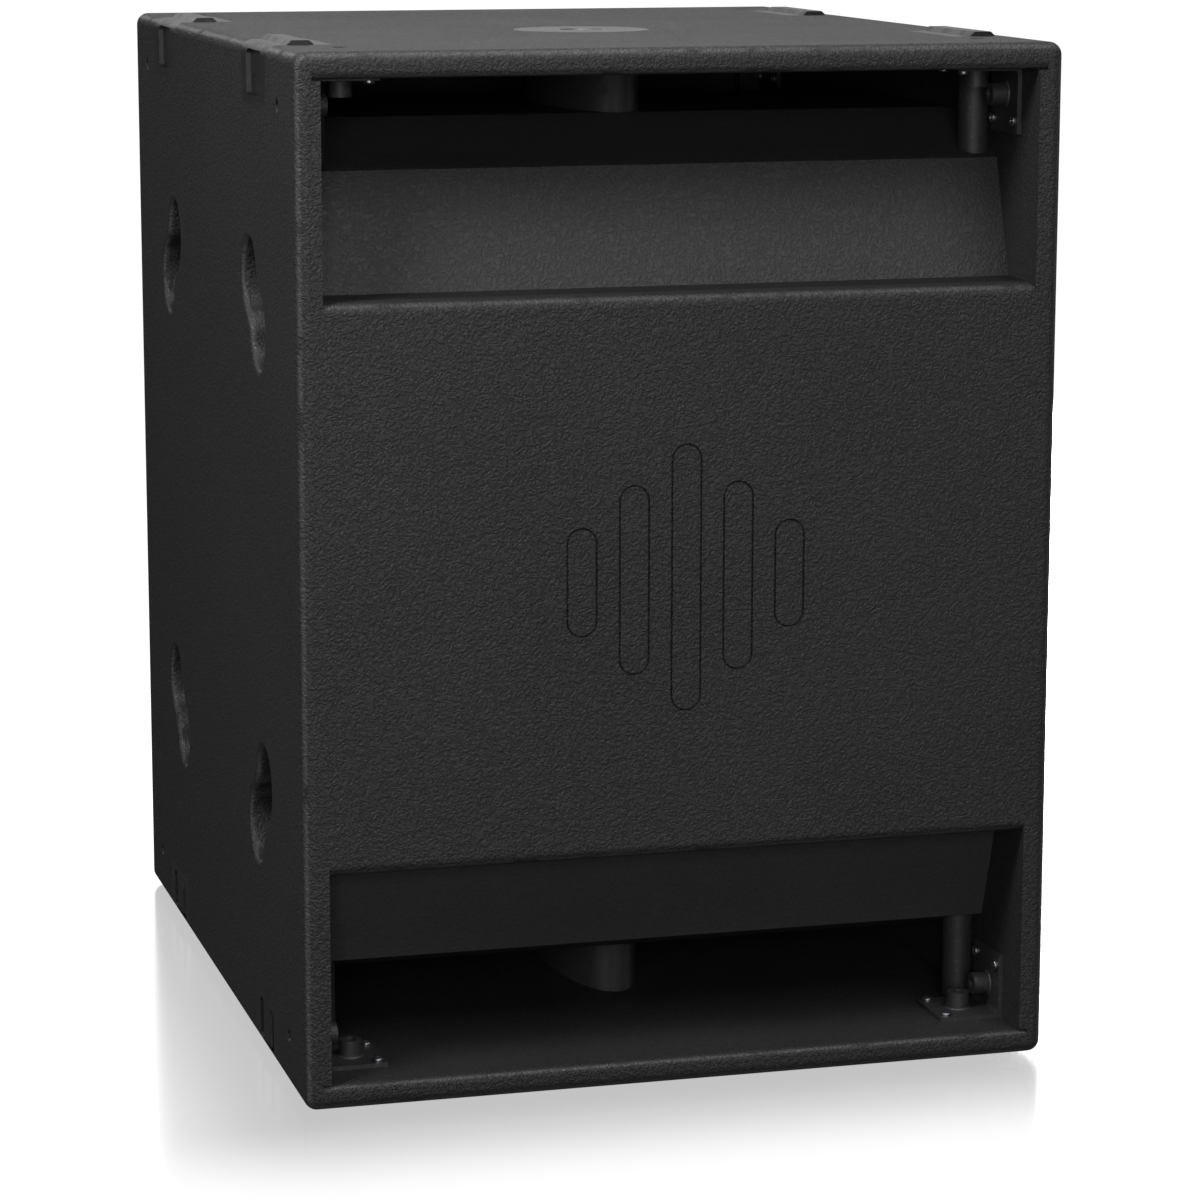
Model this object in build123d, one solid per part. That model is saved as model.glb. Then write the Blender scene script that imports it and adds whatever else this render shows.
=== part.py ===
"""Band-pass subwoofer cabinet: a plywood box with a slot mouth above and below its flush front panel.

Frame: X to the right as seen from the front, Y to the back, Z up. The origin is on the floor, under
the middle of the cabinet. Millimetres.
"""

from build123d import *
import math
import os

# ---- driving dimensions of the cabinet
WIDTH, DEPTH, HEIGHT = 538.0, 656.0, 720.0
PLY = 18.0
EDGE_R = 9.0
STAND_OFF = 2.0

FRONT, BACK = -DEPTH / 2, DEPTH / 2
SIDE = WIDTH / 2
WALL = SIDE - PLY
FOOT, HEAD = STAND_OFF, STAND_OFF + HEIGHT
FLOOR_IN, CEILING = FOOT + PLY, HEAD - PLY
MID_Z = STAND_OFF + HEIGHT / 2

# ---- slot mouth and horn of the upper half; the lower half mirrors it about MID_Z
PANEL_TOP = MID_Z + 195.0
PANEL_EDGE_R = 8.0
LIP_R = 5.5
LIP_OVERRUN = 6.0
DEFLECTOR_FOOT = (-276.0, PANEL_TOP)
DEFLECTOR_HEAD = (-249.0, PANEL_TOP + 81.0)
PORT_HEIGHT = 36.0
SHELF_TOP = CEILING - PORT_HEIGHT
SHELF_FRONT, SHELF_BACK = -158.0, 72.0
COLUMN_Y, COLUMN_HALF_X, COLUMN_HALF_Y = -53.0, 32.0, 105.0
TIE_X, TIE_Y, TIE_R, TIE_BORE_R = 239.5, -231.0, 11.0, 7.0

# ---- driver, on the axis through the middle of the cabinet
BAFFLE_BACK = -28.0
CUTOUT_R = 210.0
FLANGE_R, FLANGE_FRONT, FLANGE_BACK = 230.0, -26.0, -20.0
DRIVER_BOLT_R, DRIVER_BOLTS = 222.0, 8
CONE_R, CONE_EDGE_Y, CONE_NECK_Y, CONE_WALL = 184.6, -27.0, 24.0, 2.2
FORMER_R_IN, FORMER_R_OUT = 50.0, 51.2
MOTOR_FRONT, PLATE_T, MAGNET_T, REAR_PLATE_T = 80.0, 10.0, 22.0, 12.0

# ---- hand grips: two-lobed finger pockets through the side panels
GRIP_Y, GRIP_Z = 171.75, 179.0
LOBE_R, LOBE_SPAN, GRIP_HALF_WAIST = 26.5, 46.4, 22.0
GRIP_TILT = 48.9
GRIP_RIM_R = 5.0
CUP_WALL, CUP_DEPTH, CUP_FLANGE = 3.0, 33.0, 9.0

# ---- rigging points, M10
RIG_Y, RIG_SIDE_Z, RIG_TOP_X = 270.0, 38.0, 226.0
BRACKET_Y, BRACKET_LEG, BRACKET_T = (243.0, 294.0), 47.0, 3.0
BOSS_R, BOSS_LENGTH, M10_TAP_R, M10_CLEAR_R = 8.0, 12.0, 4.25, 5.25

# ---- stacking mouldings on the long top and bottom edges
MOULD_Y, MOULD_HALF_WIDE, MOULD_HALF_NARROW = 186.0, 46.5, 39.5
MOULD_LEG_Z, MOULD_LEG_X, MOULD_T = 43.0, 46.0, 7.0
RAIL_X, RAIL_HALF, RAIL_TOP_HALF, RAIL_H = 245.0, 9.5, 6.0, 3.2
CHANNEL_HALF, CHANNEL_DEPTH = 25.0, 3.5

# ---- pole socket in the top
POLE_R, POLE_T, POLE_SLEEVE_R, POLE_DEPTH, M20_TAP_R = 50.0, 4.0, 18.0, 46.0, 8.75
POLE_LEAD_R, POLE_LEAD_DEPTH, POLE_SCREW_R = 16.5, 2.0, 37.0

# ---- amplifier module, recessed in the back panel
AMP_FLANGE_X, AMP_FLANGE_T, AMP_Z = 175.0, 3.0, (60.0, 330.0)
AMP_DISH_X, AMP_DISH_Z, AMP_FACE, AMP_SHEET = 155.0, (80.0, 310.0), 290.0, 2.0
AMP_BACK = AMP_FACE - AMP_SHEET
HOUSING_X, HOUSING_Z, HOUSING_FRONT = 150.0, (82.0, 308.0), 213.0
BOARD_Y, BOARD_T = 262.0, 1.6
INLET_X, INLET_Z = 118.0, 112.0
SWITCH_X, SWITCH_Z, SWITCH_PIVOT_Y = 118.0, 168.0, 287.5
SWITCH_HALF_X, SWITCH_HALF_Z, SWITCH_WALL, ROCKER_TILT = 11.0, 14.3, 2.0, 10.0
SOCKETS_X, SOCKET_Z = (-118.0, -78.0), 112.0
LEVEL_X, LEVEL_Z, LEVEL_R = 62.0, 168.0, 11.0
MENU_X, MENU_Z, MENU_R = 20.0, 112.0, 9.0
BUTTONS = {"preset_button": (-22.0, 112.0), "ground_button": (-98.0, 160.0)}
SHAFT_R, SHAFT_CLEAR, BUTTON_R, BUTTON_CLEAR = 3.0, 0.06, 4.5, 0.08
WINDOW_X, WINDOW_Z, WINDOW_HALF_X, WINDOW_HALF_Z = -2.0, 168.0, 34.0, 16.0
LEAD_EXIT, LEAD_R = (-60.0, 110.0), 3.0

parts = {}


# ---- shared shapes
def slab(x, y, z):
    """A box from its (low, high) pair along each axis."""
    size = [high - low for low, high in (x, y, z)]
    return Pos(*[(low + high) / 2 for low, high in (x, y, z)]) * Box(*size)


def rod(radius, start, end):
    """A round bar from one point to another."""
    axis = Vector(*end) - Vector(*start)
    return Plane(origin=start, z_dir=axis) * Pos(0, 0, axis.length / 2) * Cylinder(radius, axis.length)


def prism_x(points, x):
    """A (Y, Z) outline carried along X."""
    return extrude(Plane.YZ.offset(x[0]) * Polygon(*points, align=None), x[1] - x[0], dir=(1, 0, 0))


def turned(points):
    """A (radius, Y) outline turned about the driver's axis."""
    return Pos(0, 0, MID_Z) * revolve(Polygon(*points, align=None), Axis.Y)


def ring(inner, outer, y):
    return turned([(inner, y[0]), (outer, y[0]), (outer, y[1]), (inner, y[1])])


def disc(radius, y, x=0.0, z=MID_Z):
    return rod(radius, (x, y[0], z), (x, y[1], z))


def flip_z(shape):
    return mirror(shape, Plane.XY.offset(MID_Z))


def flip_y(shape):
    return mirror(shape, Plane.XZ)


def flip_x(shape):
    return mirror(shape, Plane.YZ)


def in_corners(shape):
    """The four copies of a left-hand upper front shape on both sides and at both ends."""
    left = [shape, flip_y(shape)]
    return left + [flip_x(piece) for piece in left]


def wood_screw(head, direction, head_r=4.2, head_h=2.6, shank_r=2.0, length=16.0):
    """A countersunk screw whose head's flat face is at head and whose shank runs along direction."""
    place = Plane(origin=head, z_dir=direction)
    sunk = Pos(0, 0, head_h / 2) * Cone(head_r, shank_r, head_h)
    slot = Pos(0, 0, 0.5) * (Box(1.1, 4.4, 1.0) + Box(4.4, 1.1, 1.0))
    return place * (sunk + Pos(0, 0, length / 2 + 0.5) * Cylinder(shank_r, length - 1) - slot)


def pan_screw(seat, direction, head_r=4.0, head_h=2.6, shank_r=2.0, length=14.0):
    """A pan-head screw whose head sits on seat, with its shank running along direction."""
    place = Plane(origin=seat, z_dir=direction)
    head = Pos(0, 0, -head_h / 2) * Cylinder(head_r, head_h)
    head = fillet(head.edges().filter_by(GeomType.CIRCLE).sort_by(Axis.Z)[:1], 1.2)
    slot = Pos(0, 0, -head_h + 0.5) * (Box(1.1, 4.4, 1.0) + Box(4.4, 1.1, 1.0))
    return place * (head + Pos(0, 0, length / 2) * Cylinder(shank_r, length) - slot)


def sink(seat, direction, head_r=4.2, head_h=2.6, shank_r=2.0, depth=10.0):
    """The countersunk hole that a wood_screw's head and shank fill, through a thin part."""
    place = Plane(origin=seat, z_dir=direction)
    cone = Pos(0, 0, head_h / 2) * Cone(head_r + 0.05, shank_r + 0.05, head_h)
    return place * (cone + Pos(0, 0, depth / 2) * Cylinder(shank_r + 0.05, depth))


def two_lobe(grow):
    """A finger pocket's outline, grown by an even margin: two round lobes and a soft waist."""
    half, lobe, waist = LOBE_SPAN / 2, LOBE_R + grow, GRIP_HALF_WAIST + grow
    scoop = (half**2 + waist**2 - lobe**2) / (2 * (lobe - waist))
    share = lobe / (lobe + scoop)
    middle = Rectangle(2 * half * (1 - share), 2 * (waist + scoop) * share)
    for side in (-1, 1):
        middle -= Pos(0, side * (waist + scoop)) * Circle(scoop)
    return Pos(half, 0) * Circle(lobe) + Pos(-half, 0) * Circle(lobe) + middle


def grip(grow, x, depth):
    """A pocket's prism on the left side, upper front, from x inwards."""
    outline = Rot(0, 0, GRIP_TILT) * two_lobe(grow)
    return extrude(Plane.YZ.offset(x) * Pos(-GRIP_Y, MID_Z + GRIP_Z) * outline, depth)


def meet(p, u, q, v):
    """Where the line through p along u crosses the line through q along v."""
    s = ((q[0] - p[0]) * v[1] - (q[1] - p[1]) * v[0]) / (u[0] * v[1] - u[1] * v[0])
    return (p[0] + s * u[0], p[1] + s * u[1])


# ---- the plywood box
outer = Pos(0, 0, MID_Z) * fillet(Box(WIDTH, DEPTH, HEIGHT).edges(), EDGE_R)


def lip_cutter(reach):
    """The bar that rounds the top panel's lower front edge."""
    corner = slab((-reach, reach), (FRONT - 1, FRONT + LIP_R), (CEILING - 1, CEILING + LIP_R))
    centre = (FRONT + LIP_R, CEILING + LIP_R)
    return corner - rod(LIP_R, (-reach - 1, *centre), (reach + 1, *centre))


def mould_outline(grow):
    """The side view of a stacking moulding's upright leg."""
    wide, narrow = MOULD_HALF_WIDE + grow, MOULD_HALF_NARROW + grow
    foot = HEAD - MOULD_LEG_Z - grow
    return [
        (-MOULD_Y - wide, HEAD + 1), (-MOULD_Y + wide, HEAD + 1),
        (-MOULD_Y + narrow, foot), (-MOULD_Y - narrow, foot),
    ]


def mould_body(grow):
    """The L of a stacking moulding, left side, upper front, also used to rout its seat."""
    y = (-MOULD_Y - MOULD_HALF_WIDE - grow, -MOULD_Y + MOULD_HALF_WIDE + grow)
    upright = prism_x(mould_outline(grow), (-SIDE - 1, -SIDE + MOULD_T + grow))
    flat = slab((-SIDE - 1, -SIDE + MOULD_LEG_X + grow), y, (HEAD - MOULD_T - grow, HEAD + 1))
    return upright + flat


mould_seats = in_corners(mould_body(0.05))
mould_seats += [flip_z(seat) for seat in mould_seats]
rig_side_z = [FOOT + RIG_SIDE_Z, HEAD - RIG_SIDE_Z]

left = slab((-SIDE, -WALL), (FRONT, BACK), (FOOT, HEAD)) & outer
pocket = grip(0, -SIDE - 1, PLY + 2)
grips = [pocket, flip_y(pocket)]
grips += [flip_z(shape) for shape in grips]
for cut in grips:
    left -= cut
for y in (-GRIP_Y, GRIP_Y):
    for z in (MID_Z - GRIP_Z, MID_Z + GRIP_Z):
        centre = Vector(-SIDE, y, z)
        face_edges = [e for e in left.edges() if abs(e.center().X + SIDE) < 0.01]
        rim = [e for e in face_edges if (e.center() - centre).length < 60]
        left = fillet(rim, GRIP_RIM_R)
for y in (-RIG_Y, RIG_Y):
    for z in rig_side_z:
        left -= rod(M10_CLEAR_R, (-SIDE - 1, y, z), (-WALL + 1, y, z))
for seat in mould_seats:
    left -= seat
overrun = lip_cutter(WALL + LIP_OVERRUN)
left -= overrun + flip_z(overrun)
parts["left_side_panel"] = left
parts["right_side_panel"] = flip_x(left)

top = slab((-WALL, WALL), (FRONT, BACK), (CEILING, HEAD)) & outer
top -= lip_cutter(WALL + 1)
for seat in mould_seats:
    top -= seat
for x in (-RIG_TOP_X, RIG_TOP_X):
    for y in (-RIG_Y, RIG_Y):
        top -= rod(M10_CLEAR_R, (x, y, CEILING - 1), (x, y, HEAD + 1))
parts["bottom_panel"] = flip_z(top)
top -= rod(POLE_R + 0.1, (0, COLUMN_Y, HEAD - POLE_T), (0, COLUMN_Y, HEAD + 1))
top -= rod(POLE_SLEEVE_R + 0.1, (0, COLUMN_Y, CEILING - 1), (0, COLUMN_Y, HEAD))
parts["top_panel"] = top

back = slab((-WALL, WALL), (BACK - PLY, BACK), (FLOOR_IN, CEILING)) & outer
rebate = AMP_FLANGE_T + 1.0
back -= slab(
    (-AMP_FLANGE_X - 0.3, AMP_FLANGE_X + 0.3), (BACK - rebate, BACK + 1),
    (AMP_Z[0] - 0.3, AMP_Z[1] + 0.3),
)
hole_x = AMP_DISH_X + AMP_SHEET + 1
hole_z = (AMP_DISH_Z[0] - AMP_SHEET - 1, AMP_DISH_Z[1] + AMP_SHEET + 1)
back -= slab((-hole_x, hole_x), (BACK - PLY - 1, BACK), hole_z)

BATTEN_T, BATTEN_W = 14.0, 18.0
batten_y = (BACK - PLY - BATTEN_T, BACK - PLY)
upright = slab((-WALL, -WALL + BATTEN_W), batten_y, (FLOOR_IN, CEILING))
cross = slab((-WALL + BATTEN_W, WALL - BATTEN_W), batten_y, (CEILING - BATTEN_W, CEILING))
parts["back_battens"] = Compound([upright, flip_x(upright), cross, flip_z(cross)])

screw_x, screw_z = WALL - BATTEN_W / 2, CEILING - BATTEN_W / 2 - MID_Z
back_heads = [(side * screw_x, MID_Z + k * 150.0) for side in (-1, 1) for k in (-2, -1, 0, 1, 2)]
back_heads += [(x, MID_Z + side * screw_z) for side in (-1, 1) for x in (-120.0, 0.0, 120.0)]
for x, z in back_heads:
    back -= sink((x, BACK, z), (0, -1, 0), depth=PLY + 1)
parts["back_panel"] = back
back_screws = [wood_screw((x, BACK, z), (0, -1, 0), length=28.0) for x, z in back_heads]
parts["back_panel_screws"] = Compound(back_screws)


# ---- front panel, with a shallow engraved row of rounded bars
front = slab((-WALL, WALL), (FRONT, FRONT + PLY), (2 * MID_Z - PANEL_TOP, PANEL_TOP))
long_edges = [e for e in front.edges().filter_by(Axis.X) if abs(e.center().Y - FRONT) < 0.01]
front = fillet(long_edges, PANEL_EDGE_R)
GROOVE_W, GROOVE_D, BAR_W, BAR_PITCH = 1.4, 1.0, 22.0, 37.0
for place, bar_height in enumerate((76.0, 132.0, 186.0, 132.0, 76.0)):
    bar = SlotOverall(bar_height, BAR_W) - SlotOverall(bar_height - 2 * GROOVE_W, BAR_W - 2 * GROOVE_W)
    outline = Plane.XZ.offset(-FRONT) * Pos((place - 2) * BAR_PITCH, MID_Z) * Rot(0, 0, 90) * bar
    groove = extrude(outline, -GROOVE_D)
    front -= groove
parts["front_panel"] = front

# ---- boards that make the horn behind each mouth
ledge = slab((-WALL, WALL), (FRONT + PLY, DEFLECTOR_FOOT[0] + 30), (PANEL_TOP - PLY, PANEL_TOP))

rise = (DEFLECTOR_HEAD[0] - DEFLECTOR_FOOT[0], DEFLECTOR_HEAD[1] - DEFLECTOR_FOOT[1])
ramp_run = (SHELF_FRONT - DEFLECTOR_HEAD[0], SHELF_TOP - DEFLECTOR_HEAD[1])
through_deflector = PLY * math.hypot(*rise) / rise[1]
through_ramp = PLY * math.hypot(*ramp_run) / ramp_run[0]
heel = (DEFLECTOR_FOOT[0] + through_deflector, DEFLECTOR_FOOT[1])
crest = meet(heel, rise, DEFLECTOR_HEAD, ramp_run)
under_shelf = (SHELF_FRONT, SHELF_TOP - through_ramp)
under_crest = meet(heel, rise, under_shelf, ramp_run)
deflector = prism_x([DEFLECTOR_FOOT, DEFLECTOR_HEAD, crest, heel], (-WALL, WALL))
ramp = prism_x([crest, (SHELF_FRONT, SHELF_TOP), under_shelf, under_crest], (-WALL, WALL))
shelf = slab((-WALL, WALL), (SHELF_FRONT, SHELF_BACK), (SHELF_TOP - PLY, SHELF_TOP))
shelf = fillet(shelf.edges().filter_by(Axis.X).sort_by(Axis.Y)[-2:], PLY / 2 - 0.5)

oval = Pos(0, COLUMN_Y) * Ellipse(COLUMN_HALF_X, COLUMN_HALF_Y)
column = extrude(Plane.XY.offset(SHELF_TOP) * oval, PORT_HEIGHT)
socket_seat = rod(POLE_SLEEVE_R + 0.1, (0, COLUMN_Y, HEAD - POLE_DEPTH), (0, COLUMN_Y, HEAD))

horn_boards = {"mouth_ledge": ledge, "deflector": deflector, "ramp": ramp, "port_shelf": shelf}
for name, board in horn_boards.items():
    parts["upper_" + name] = board
    parts["lower_" + name] = flip_z(board)
parts["upper_column"] = column - socket_seat
parts["lower_column"] = flip_z(column)

tie = rod(TIE_R, (-TIE_X, TIE_Y, DEFLECTOR_HEAD[1] - 10), (-TIE_X, TIE_Y, CEILING))
tie -= rod(TIE_BORE_R, (-TIE_X, TIE_Y, DEFLECTOR_HEAD[1] - 11), (-TIE_X, TIE_Y, CEILING + 1))
tie = tie - deflector - ramp
tie = tie.solids().sort_by(Axis.Z)[-1]
ties = [tie, flip_x(tie)]
parts["tie_tubes"] = Compound(ties + [flip_z(shape) for shape in ties])

baffle_z = (2 * MID_Z - SHELF_TOP + PLY, SHELF_TOP - PLY)
baffle = slab((-WALL, WALL), (BAFFLE_BACK - PLY, BAFFLE_BACK), baffle_z)
baffle -= disc(CUTOUT_R, (BAFFLE_BACK - PLY - 1, BAFFLE_BACK + 1))

# ---- hand grips: a moulded cup behind each pocket, glued and screwed to the panel's inner face
cup = grip(CUP_WALL + 2, -WALL, CUP_DEPTH)
cup = fillet(cup.edges().group_by(Axis.X)[-1], 6.0)
hollow = grip(2, -WALL, CUP_DEPTH - CUP_WALL)
hollow = fillet(hollow.edges().group_by(Axis.X)[-1], 4.0)
cup = cup + grip(CUP_FLANGE + 2, -WALL, CUP_WALL) - hollow
cups = [cup, flip_y(cup)]
cups += [flip_z(shape) for shape in cups]
parts["left_handle_cups"] = Compound(cups)
parts["right_handle_cups"] = Compound([flip_x(shape) for shape in cups])

# ---- stacking mouldings: a lug with a raised rail on top, a skid with a matching groove below
body = mould_body(0) & outer
rail_y = (-MOULD_Y - MOULD_HALF_WIDE, -MOULD_Y + MOULD_HALF_WIDE)
rail_face = Polygon(
    (-RAIL_X - RAIL_HALF, HEAD), (-RAIL_X - RAIL_TOP_HALF, HEAD + RAIL_H),
    (-RAIL_X + RAIL_TOP_HALF, HEAD + RAIL_H), (-RAIL_X + RAIL_HALF, HEAD), align=None,
)
rail = extrude(Plane.XZ.offset(-rail_y[1]) * rail_face, rail_y[1] - rail_y[0], dir=(0, -1, 0))
channel = slab(
    (-SIDE - 1, -SIDE + CHANNEL_DEPTH), (-MOULD_Y - CHANNEL_HALF, -MOULD_Y + CHANNEL_HALF),
    (HEAD - MOULD_LEG_Z + 6, HEAD - 5),
)
channel = fillet(channel.edges().filter_by(Axis.X), 4.0)
side_heads = [(-SIDE + CHANNEL_DEPTH, -MOULD_Y + step, HEAD - 24) for step in (-14.0, 14.0)]
lug = body + rail - channel
for head in side_heads:
    lug -= sink(head, (1, 0, 0), depth=MOULD_T)
lug_screws = [wood_screw(head, (1, 0, 0), length=15.0) for head in side_heads]

skid = body - channel
rib_z = (HEAD - MOULD_LEG_Z + 5, HEAD - 9)
rib = slab((-SIDE, -SIDE + CHANNEL_DEPTH), (-MOULD_Y - 14, -MOULD_Y + 14), rib_z)
skid += fillet(rib.edges().filter_by(Axis.Z).sort_by(Axis.X)[:2], 1.5)
skid_head = [(-SIDE + CHANNEL_DEPTH, -MOULD_Y + step, HEAD - 24) for step in (-19.5, 19.5)]
pad = slab((-SIDE + EDGE_R - 3, -SIDE + MOULD_LEG_X - 2), rail_y, (HEAD - 1, HEAD + STAND_OFF))
pad = fillet(pad.edges().filter_by(Axis.Z), 4.0)
skid += pad
groove_x = (-RAIL_X - RAIL_HALF - 1.5, -RAIL_X + RAIL_HALF + 1.5)
skid -= slab(groove_x, (rail_y[0] - 1, rail_y[1] + 1), (HEAD + STAND_OFF - 4, HEAD + STAND_OFF + 1))
for head in skid_head:
    skid -= sink(head, (1, 0, 0), depth=MOULD_T)
skid_screws = [wood_screw(head, (1, 0, 0), length=15.0) for head in skid_head]
parts["stacking_lugs"] = Compound(in_corners(lug))
parts["stacking_skids"] = Compound([flip_z(shape) for shape in in_corners(skid)])
corner_screws = [copy for screw in lug_screws for copy in in_corners(screw)]
corner_screws += [flip_z(copy) for screw in skid_screws for copy in in_corners(screw)]
parts["corner_screws"] = Compound(corner_screws)

# ---- rigging brackets: steel angles with two tapped bosses, in the eight inner corners
bracket_y = (-BRACKET_Y[1], -BRACKET_Y[0])
rig_z = HEAD - RIG_SIDE_Z
side_leg = slab((-WALL, -WALL + BRACKET_T), bracket_y, (CEILING - BRACKET_LEG, CEILING))
top_leg = slab((-WALL, -WALL + BRACKET_LEG), bracket_y, (CEILING - BRACKET_T, CEILING))
bracket = side_leg + top_leg
bend = Vector(-WALL + BRACKET_T, -RIG_Y, CEILING - BRACKET_T)
inner_bend = [e for e in bracket.edges().filter_by(Axis.Y) if abs(e.center().X - bend.X) < 0.01]
bracket = fillet([e for e in inner_bend if abs(e.center().Z - bend.Z) < 0.01], 2.5)
bracket += rod(BOSS_R, (-WALL, -RIG_Y, rig_z), (-WALL + BRACKET_T + BOSS_LENGTH, -RIG_Y, rig_z))
boss_foot = CEILING - BRACKET_T - BOSS_LENGTH
bracket += rod(BOSS_R, (-RIG_TOP_X, -RIG_Y, CEILING), (-RIG_TOP_X, -RIG_Y, boss_foot))
bracket -= rod(M10_TAP_R, (-WALL - 1, -RIG_Y, rig_z), (-WALL + 20, -RIG_Y, rig_z))
bracket -= rod(M10_TAP_R, (-RIG_TOP_X, -RIG_Y, CEILING + 1), (-RIG_TOP_X, -RIG_Y, CEILING - 20))
bracket_screws = []
for y in (bracket_y[0] + 6, bracket_y[1] - 6):
    on_side = ((-WALL + BRACKET_T, y, CEILING - 38), (-1, 0, 0))
    on_top = ((-WALL + 41, y, CEILING - BRACKET_T), (0, 0, 1))
    for seat, way in (on_side, on_top):
        bracket -= Plane(origin=seat, z_dir=way) * Cylinder(2.05, 8)
        bracket_screws.append(pan_screw(seat, way))
brackets = in_corners(bracket)
parts["rigging_brackets"] = Compound(brackets + [flip_z(shape) for shape in brackets])
rigging_screws = [copy for screw in bracket_screws for copy in in_corners(screw)]
parts["rigging_screws"] = Compound(rigging_screws + [flip_z(copy) for copy in rigging_screws])

# ---- pole socket: a round flange, flush in the top, on a tapped sleeve that enters the column
flange = rod(POLE_R, (0, COLUMN_Y, HEAD - POLE_T), (0, COLUMN_Y, HEAD))
flange = fillet(flange.edges().filter_by(GeomType.CIRCLE).sort_by(Axis.Z)[-1:], 0.8)
socket = flange + rod(POLE_SLEEVE_R, (0, COLUMN_Y, HEAD - POLE_DEPTH), (0, COLUMN_Y, HEAD - POLE_T))
socket -= rod(POLE_LEAD_R, (0, COLUMN_Y, HEAD - POLE_LEAD_DEPTH), (0, COLUMN_Y, HEAD + 1))
socket -= rod(M20_TAP_R, (0, COLUMN_Y, HEAD - POLE_DEPTH - 1), (0, COLUMN_Y, HEAD + 1))
pole_screws = []
for turn in (45, 135, 225, 315):
    angle = math.radians(turn)
    head = (POLE_SCREW_R * math.cos(angle), COLUMN_Y + POLE_SCREW_R * math.sin(angle), HEAD)
    socket -= sink(head, (0, 0, -1), depth=POLE_T + 1)
    pole_screws.append(wood_screw(head, (0, 0, -1), length=16.0))
parts["pole_socket"] = socket
parts["pole_socket_screws"] = Compound(pole_screws)


# ---- loudspeaker driver, bolted to the back of the baffle
def around(shape, count, offset):
    """Copies of a shape turned evenly about the driver's axis."""
    axis = Axis((0, 0, MID_Z), (0, 1, 0))
    return [shape.rotate(axis, offset + 360.0 / count * k) for k in range(count)]


SPIDER_Y, SPIDER_R = 50.0, 98.0
basket = turned([
    (206.0, FLANGE_FRONT), (FLANGE_R, FLANGE_FRONT), (FLANGE_R, FLANGE_BACK), (212.0, FLANGE_BACK),
    (104.0, MOTOR_FRONT - 8), (104.0, MOTOR_FRONT), (60.0, MOTOR_FRONT), (60.0, MOTOR_FRONT - 5),
    (92.0, MOTOR_FRONT - 5), (92.0, SPIDER_Y + 3.5), (112.0, SPIDER_Y + 3.5), (206.0, FLANGE_BACK),
])
window = slab((-26, 26), (FLANGE_BACK + 14, SPIDER_Y - 4), (MID_Z + 100, MID_Z + 220))
window = fillet(window.edges().filter_by(Axis.Z), 10.0)
for cut in around(window, 8, 22.5):
    basket -= cut
bolt_hole = disc(4.25, (BAFFLE_BACK - PLY - 1, FLANGE_BACK + 1), z=MID_Z + DRIVER_BOLT_R)
bolt_holes = around(bolt_hole, DRIVER_BOLTS, 22.5)
gasket = ring(217.5, 229.0, (BAFFLE_BACK, FLANGE_FRONT))
for hole in bolt_holes:
    basket -= hole
    gasket -= hole
    baffle -= hole
parts["driver_baffle"] = baffle
parts["basket"] = basket
parts["driver_gasket"] = gasket

magnet_front = MOTOR_FRONT + PLATE_T
magnet_back = magnet_front + MAGNET_T
parts["front_pole_plate"] = ring(52.3, 100.0, (MOTOR_FRONT, magnet_front))
parts["ring_magnet"] = ring(62.0, 108.0, (magnet_front, magnet_back))
rear_plate = turned([
    (14.0, MOTOR_FRONT - 2), (49.4, MOTOR_FRONT - 2), (49.4, magnet_back), (100.0, magnet_back),
    (100.0, magnet_back + REAR_PLATE_T - 3), (97.0, magnet_back + REAR_PLATE_T),
    (14.0, magnet_back + REAR_PLATE_T),
])
parts["rear_pole_plate"] = rear_plate

coil_back = magnet_back - 11.5
parts["voice_coil"] = turned([
    (FORMER_R_IN, CONE_NECK_Y - 6), (FORMER_R_OUT, CONE_NECK_Y - 6), (FORMER_R_OUT, MOTOR_FRONT - 8),
    (FORMER_R_OUT + 0.7, MOTOR_FRONT - 8), (FORMER_R_OUT + 0.7, coil_back), (FORMER_R_IN, coil_back),
])
parts["cone"] = turned([
    (FORMER_R_OUT, CONE_NECK_Y - CONE_WALL), (FORMER_R_OUT, CONE_NECK_Y),
    (CONE_R - 8, CONE_EDGE_Y + CONE_WALL), (CONE_R, CONE_EDGE_Y + CONE_WALL), (CONE_R, CONE_EDGE_Y),
    (CONE_R - 8, CONE_EDGE_Y),
])
CAP_BASE_R, CAP_SPHERE_R, CAP_WALL = 66.0, 105.0, 1.4
fall = (CONE_NECK_Y - CONE_WALL - CONE_EDGE_Y) / (CONE_R - 8 - FORMER_R_OUT)
cap_y = CONE_NECK_Y - CONE_WALL - (CAP_BASE_R - FORMER_R_OUT) * fall - 0.05
cap_centre = cap_y + math.sqrt(CAP_SPHERE_R**2 - CAP_BASE_R**2)
dome = Sphere(CAP_SPHERE_R) - Sphere(CAP_SPHERE_R - CAP_WALL)
dome = Pos(0, cap_centre, MID_Z) * dome
parts["dust_cap"] = dome & slab((-120, 120), (-120, cap_y), (MID_Z - 120, MID_Z + 120))

ROLL_R, ROLL_HALF, ROLL_WALL = 195.6, 10.2, 1.3
roll = Circle(ROLL_HALF) - Circle(ROLL_HALF - ROLL_WALL)
roll &= Pos(0, -ROLL_HALF) * Rectangle(2 * ROLL_HALF, 2 * ROLL_HALF)
roll = Pos(ROLL_R, FLANGE_FRONT - ROLL_WALL) * roll
lip = Pos((ROLL_R + ROLL_HALF + 216.5) / 2 - 0.6, (BAFFLE_BACK + FLANGE_FRONT) / 2)
lip *= Rectangle(216.5 - ROLL_R - ROLL_HALF + 1.2, FLANGE_FRONT - BAFFLE_BACK)
parts["surround"] = Pos(0, 0, MID_Z) * revolve(roll + lip, Axis.Y)

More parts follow.
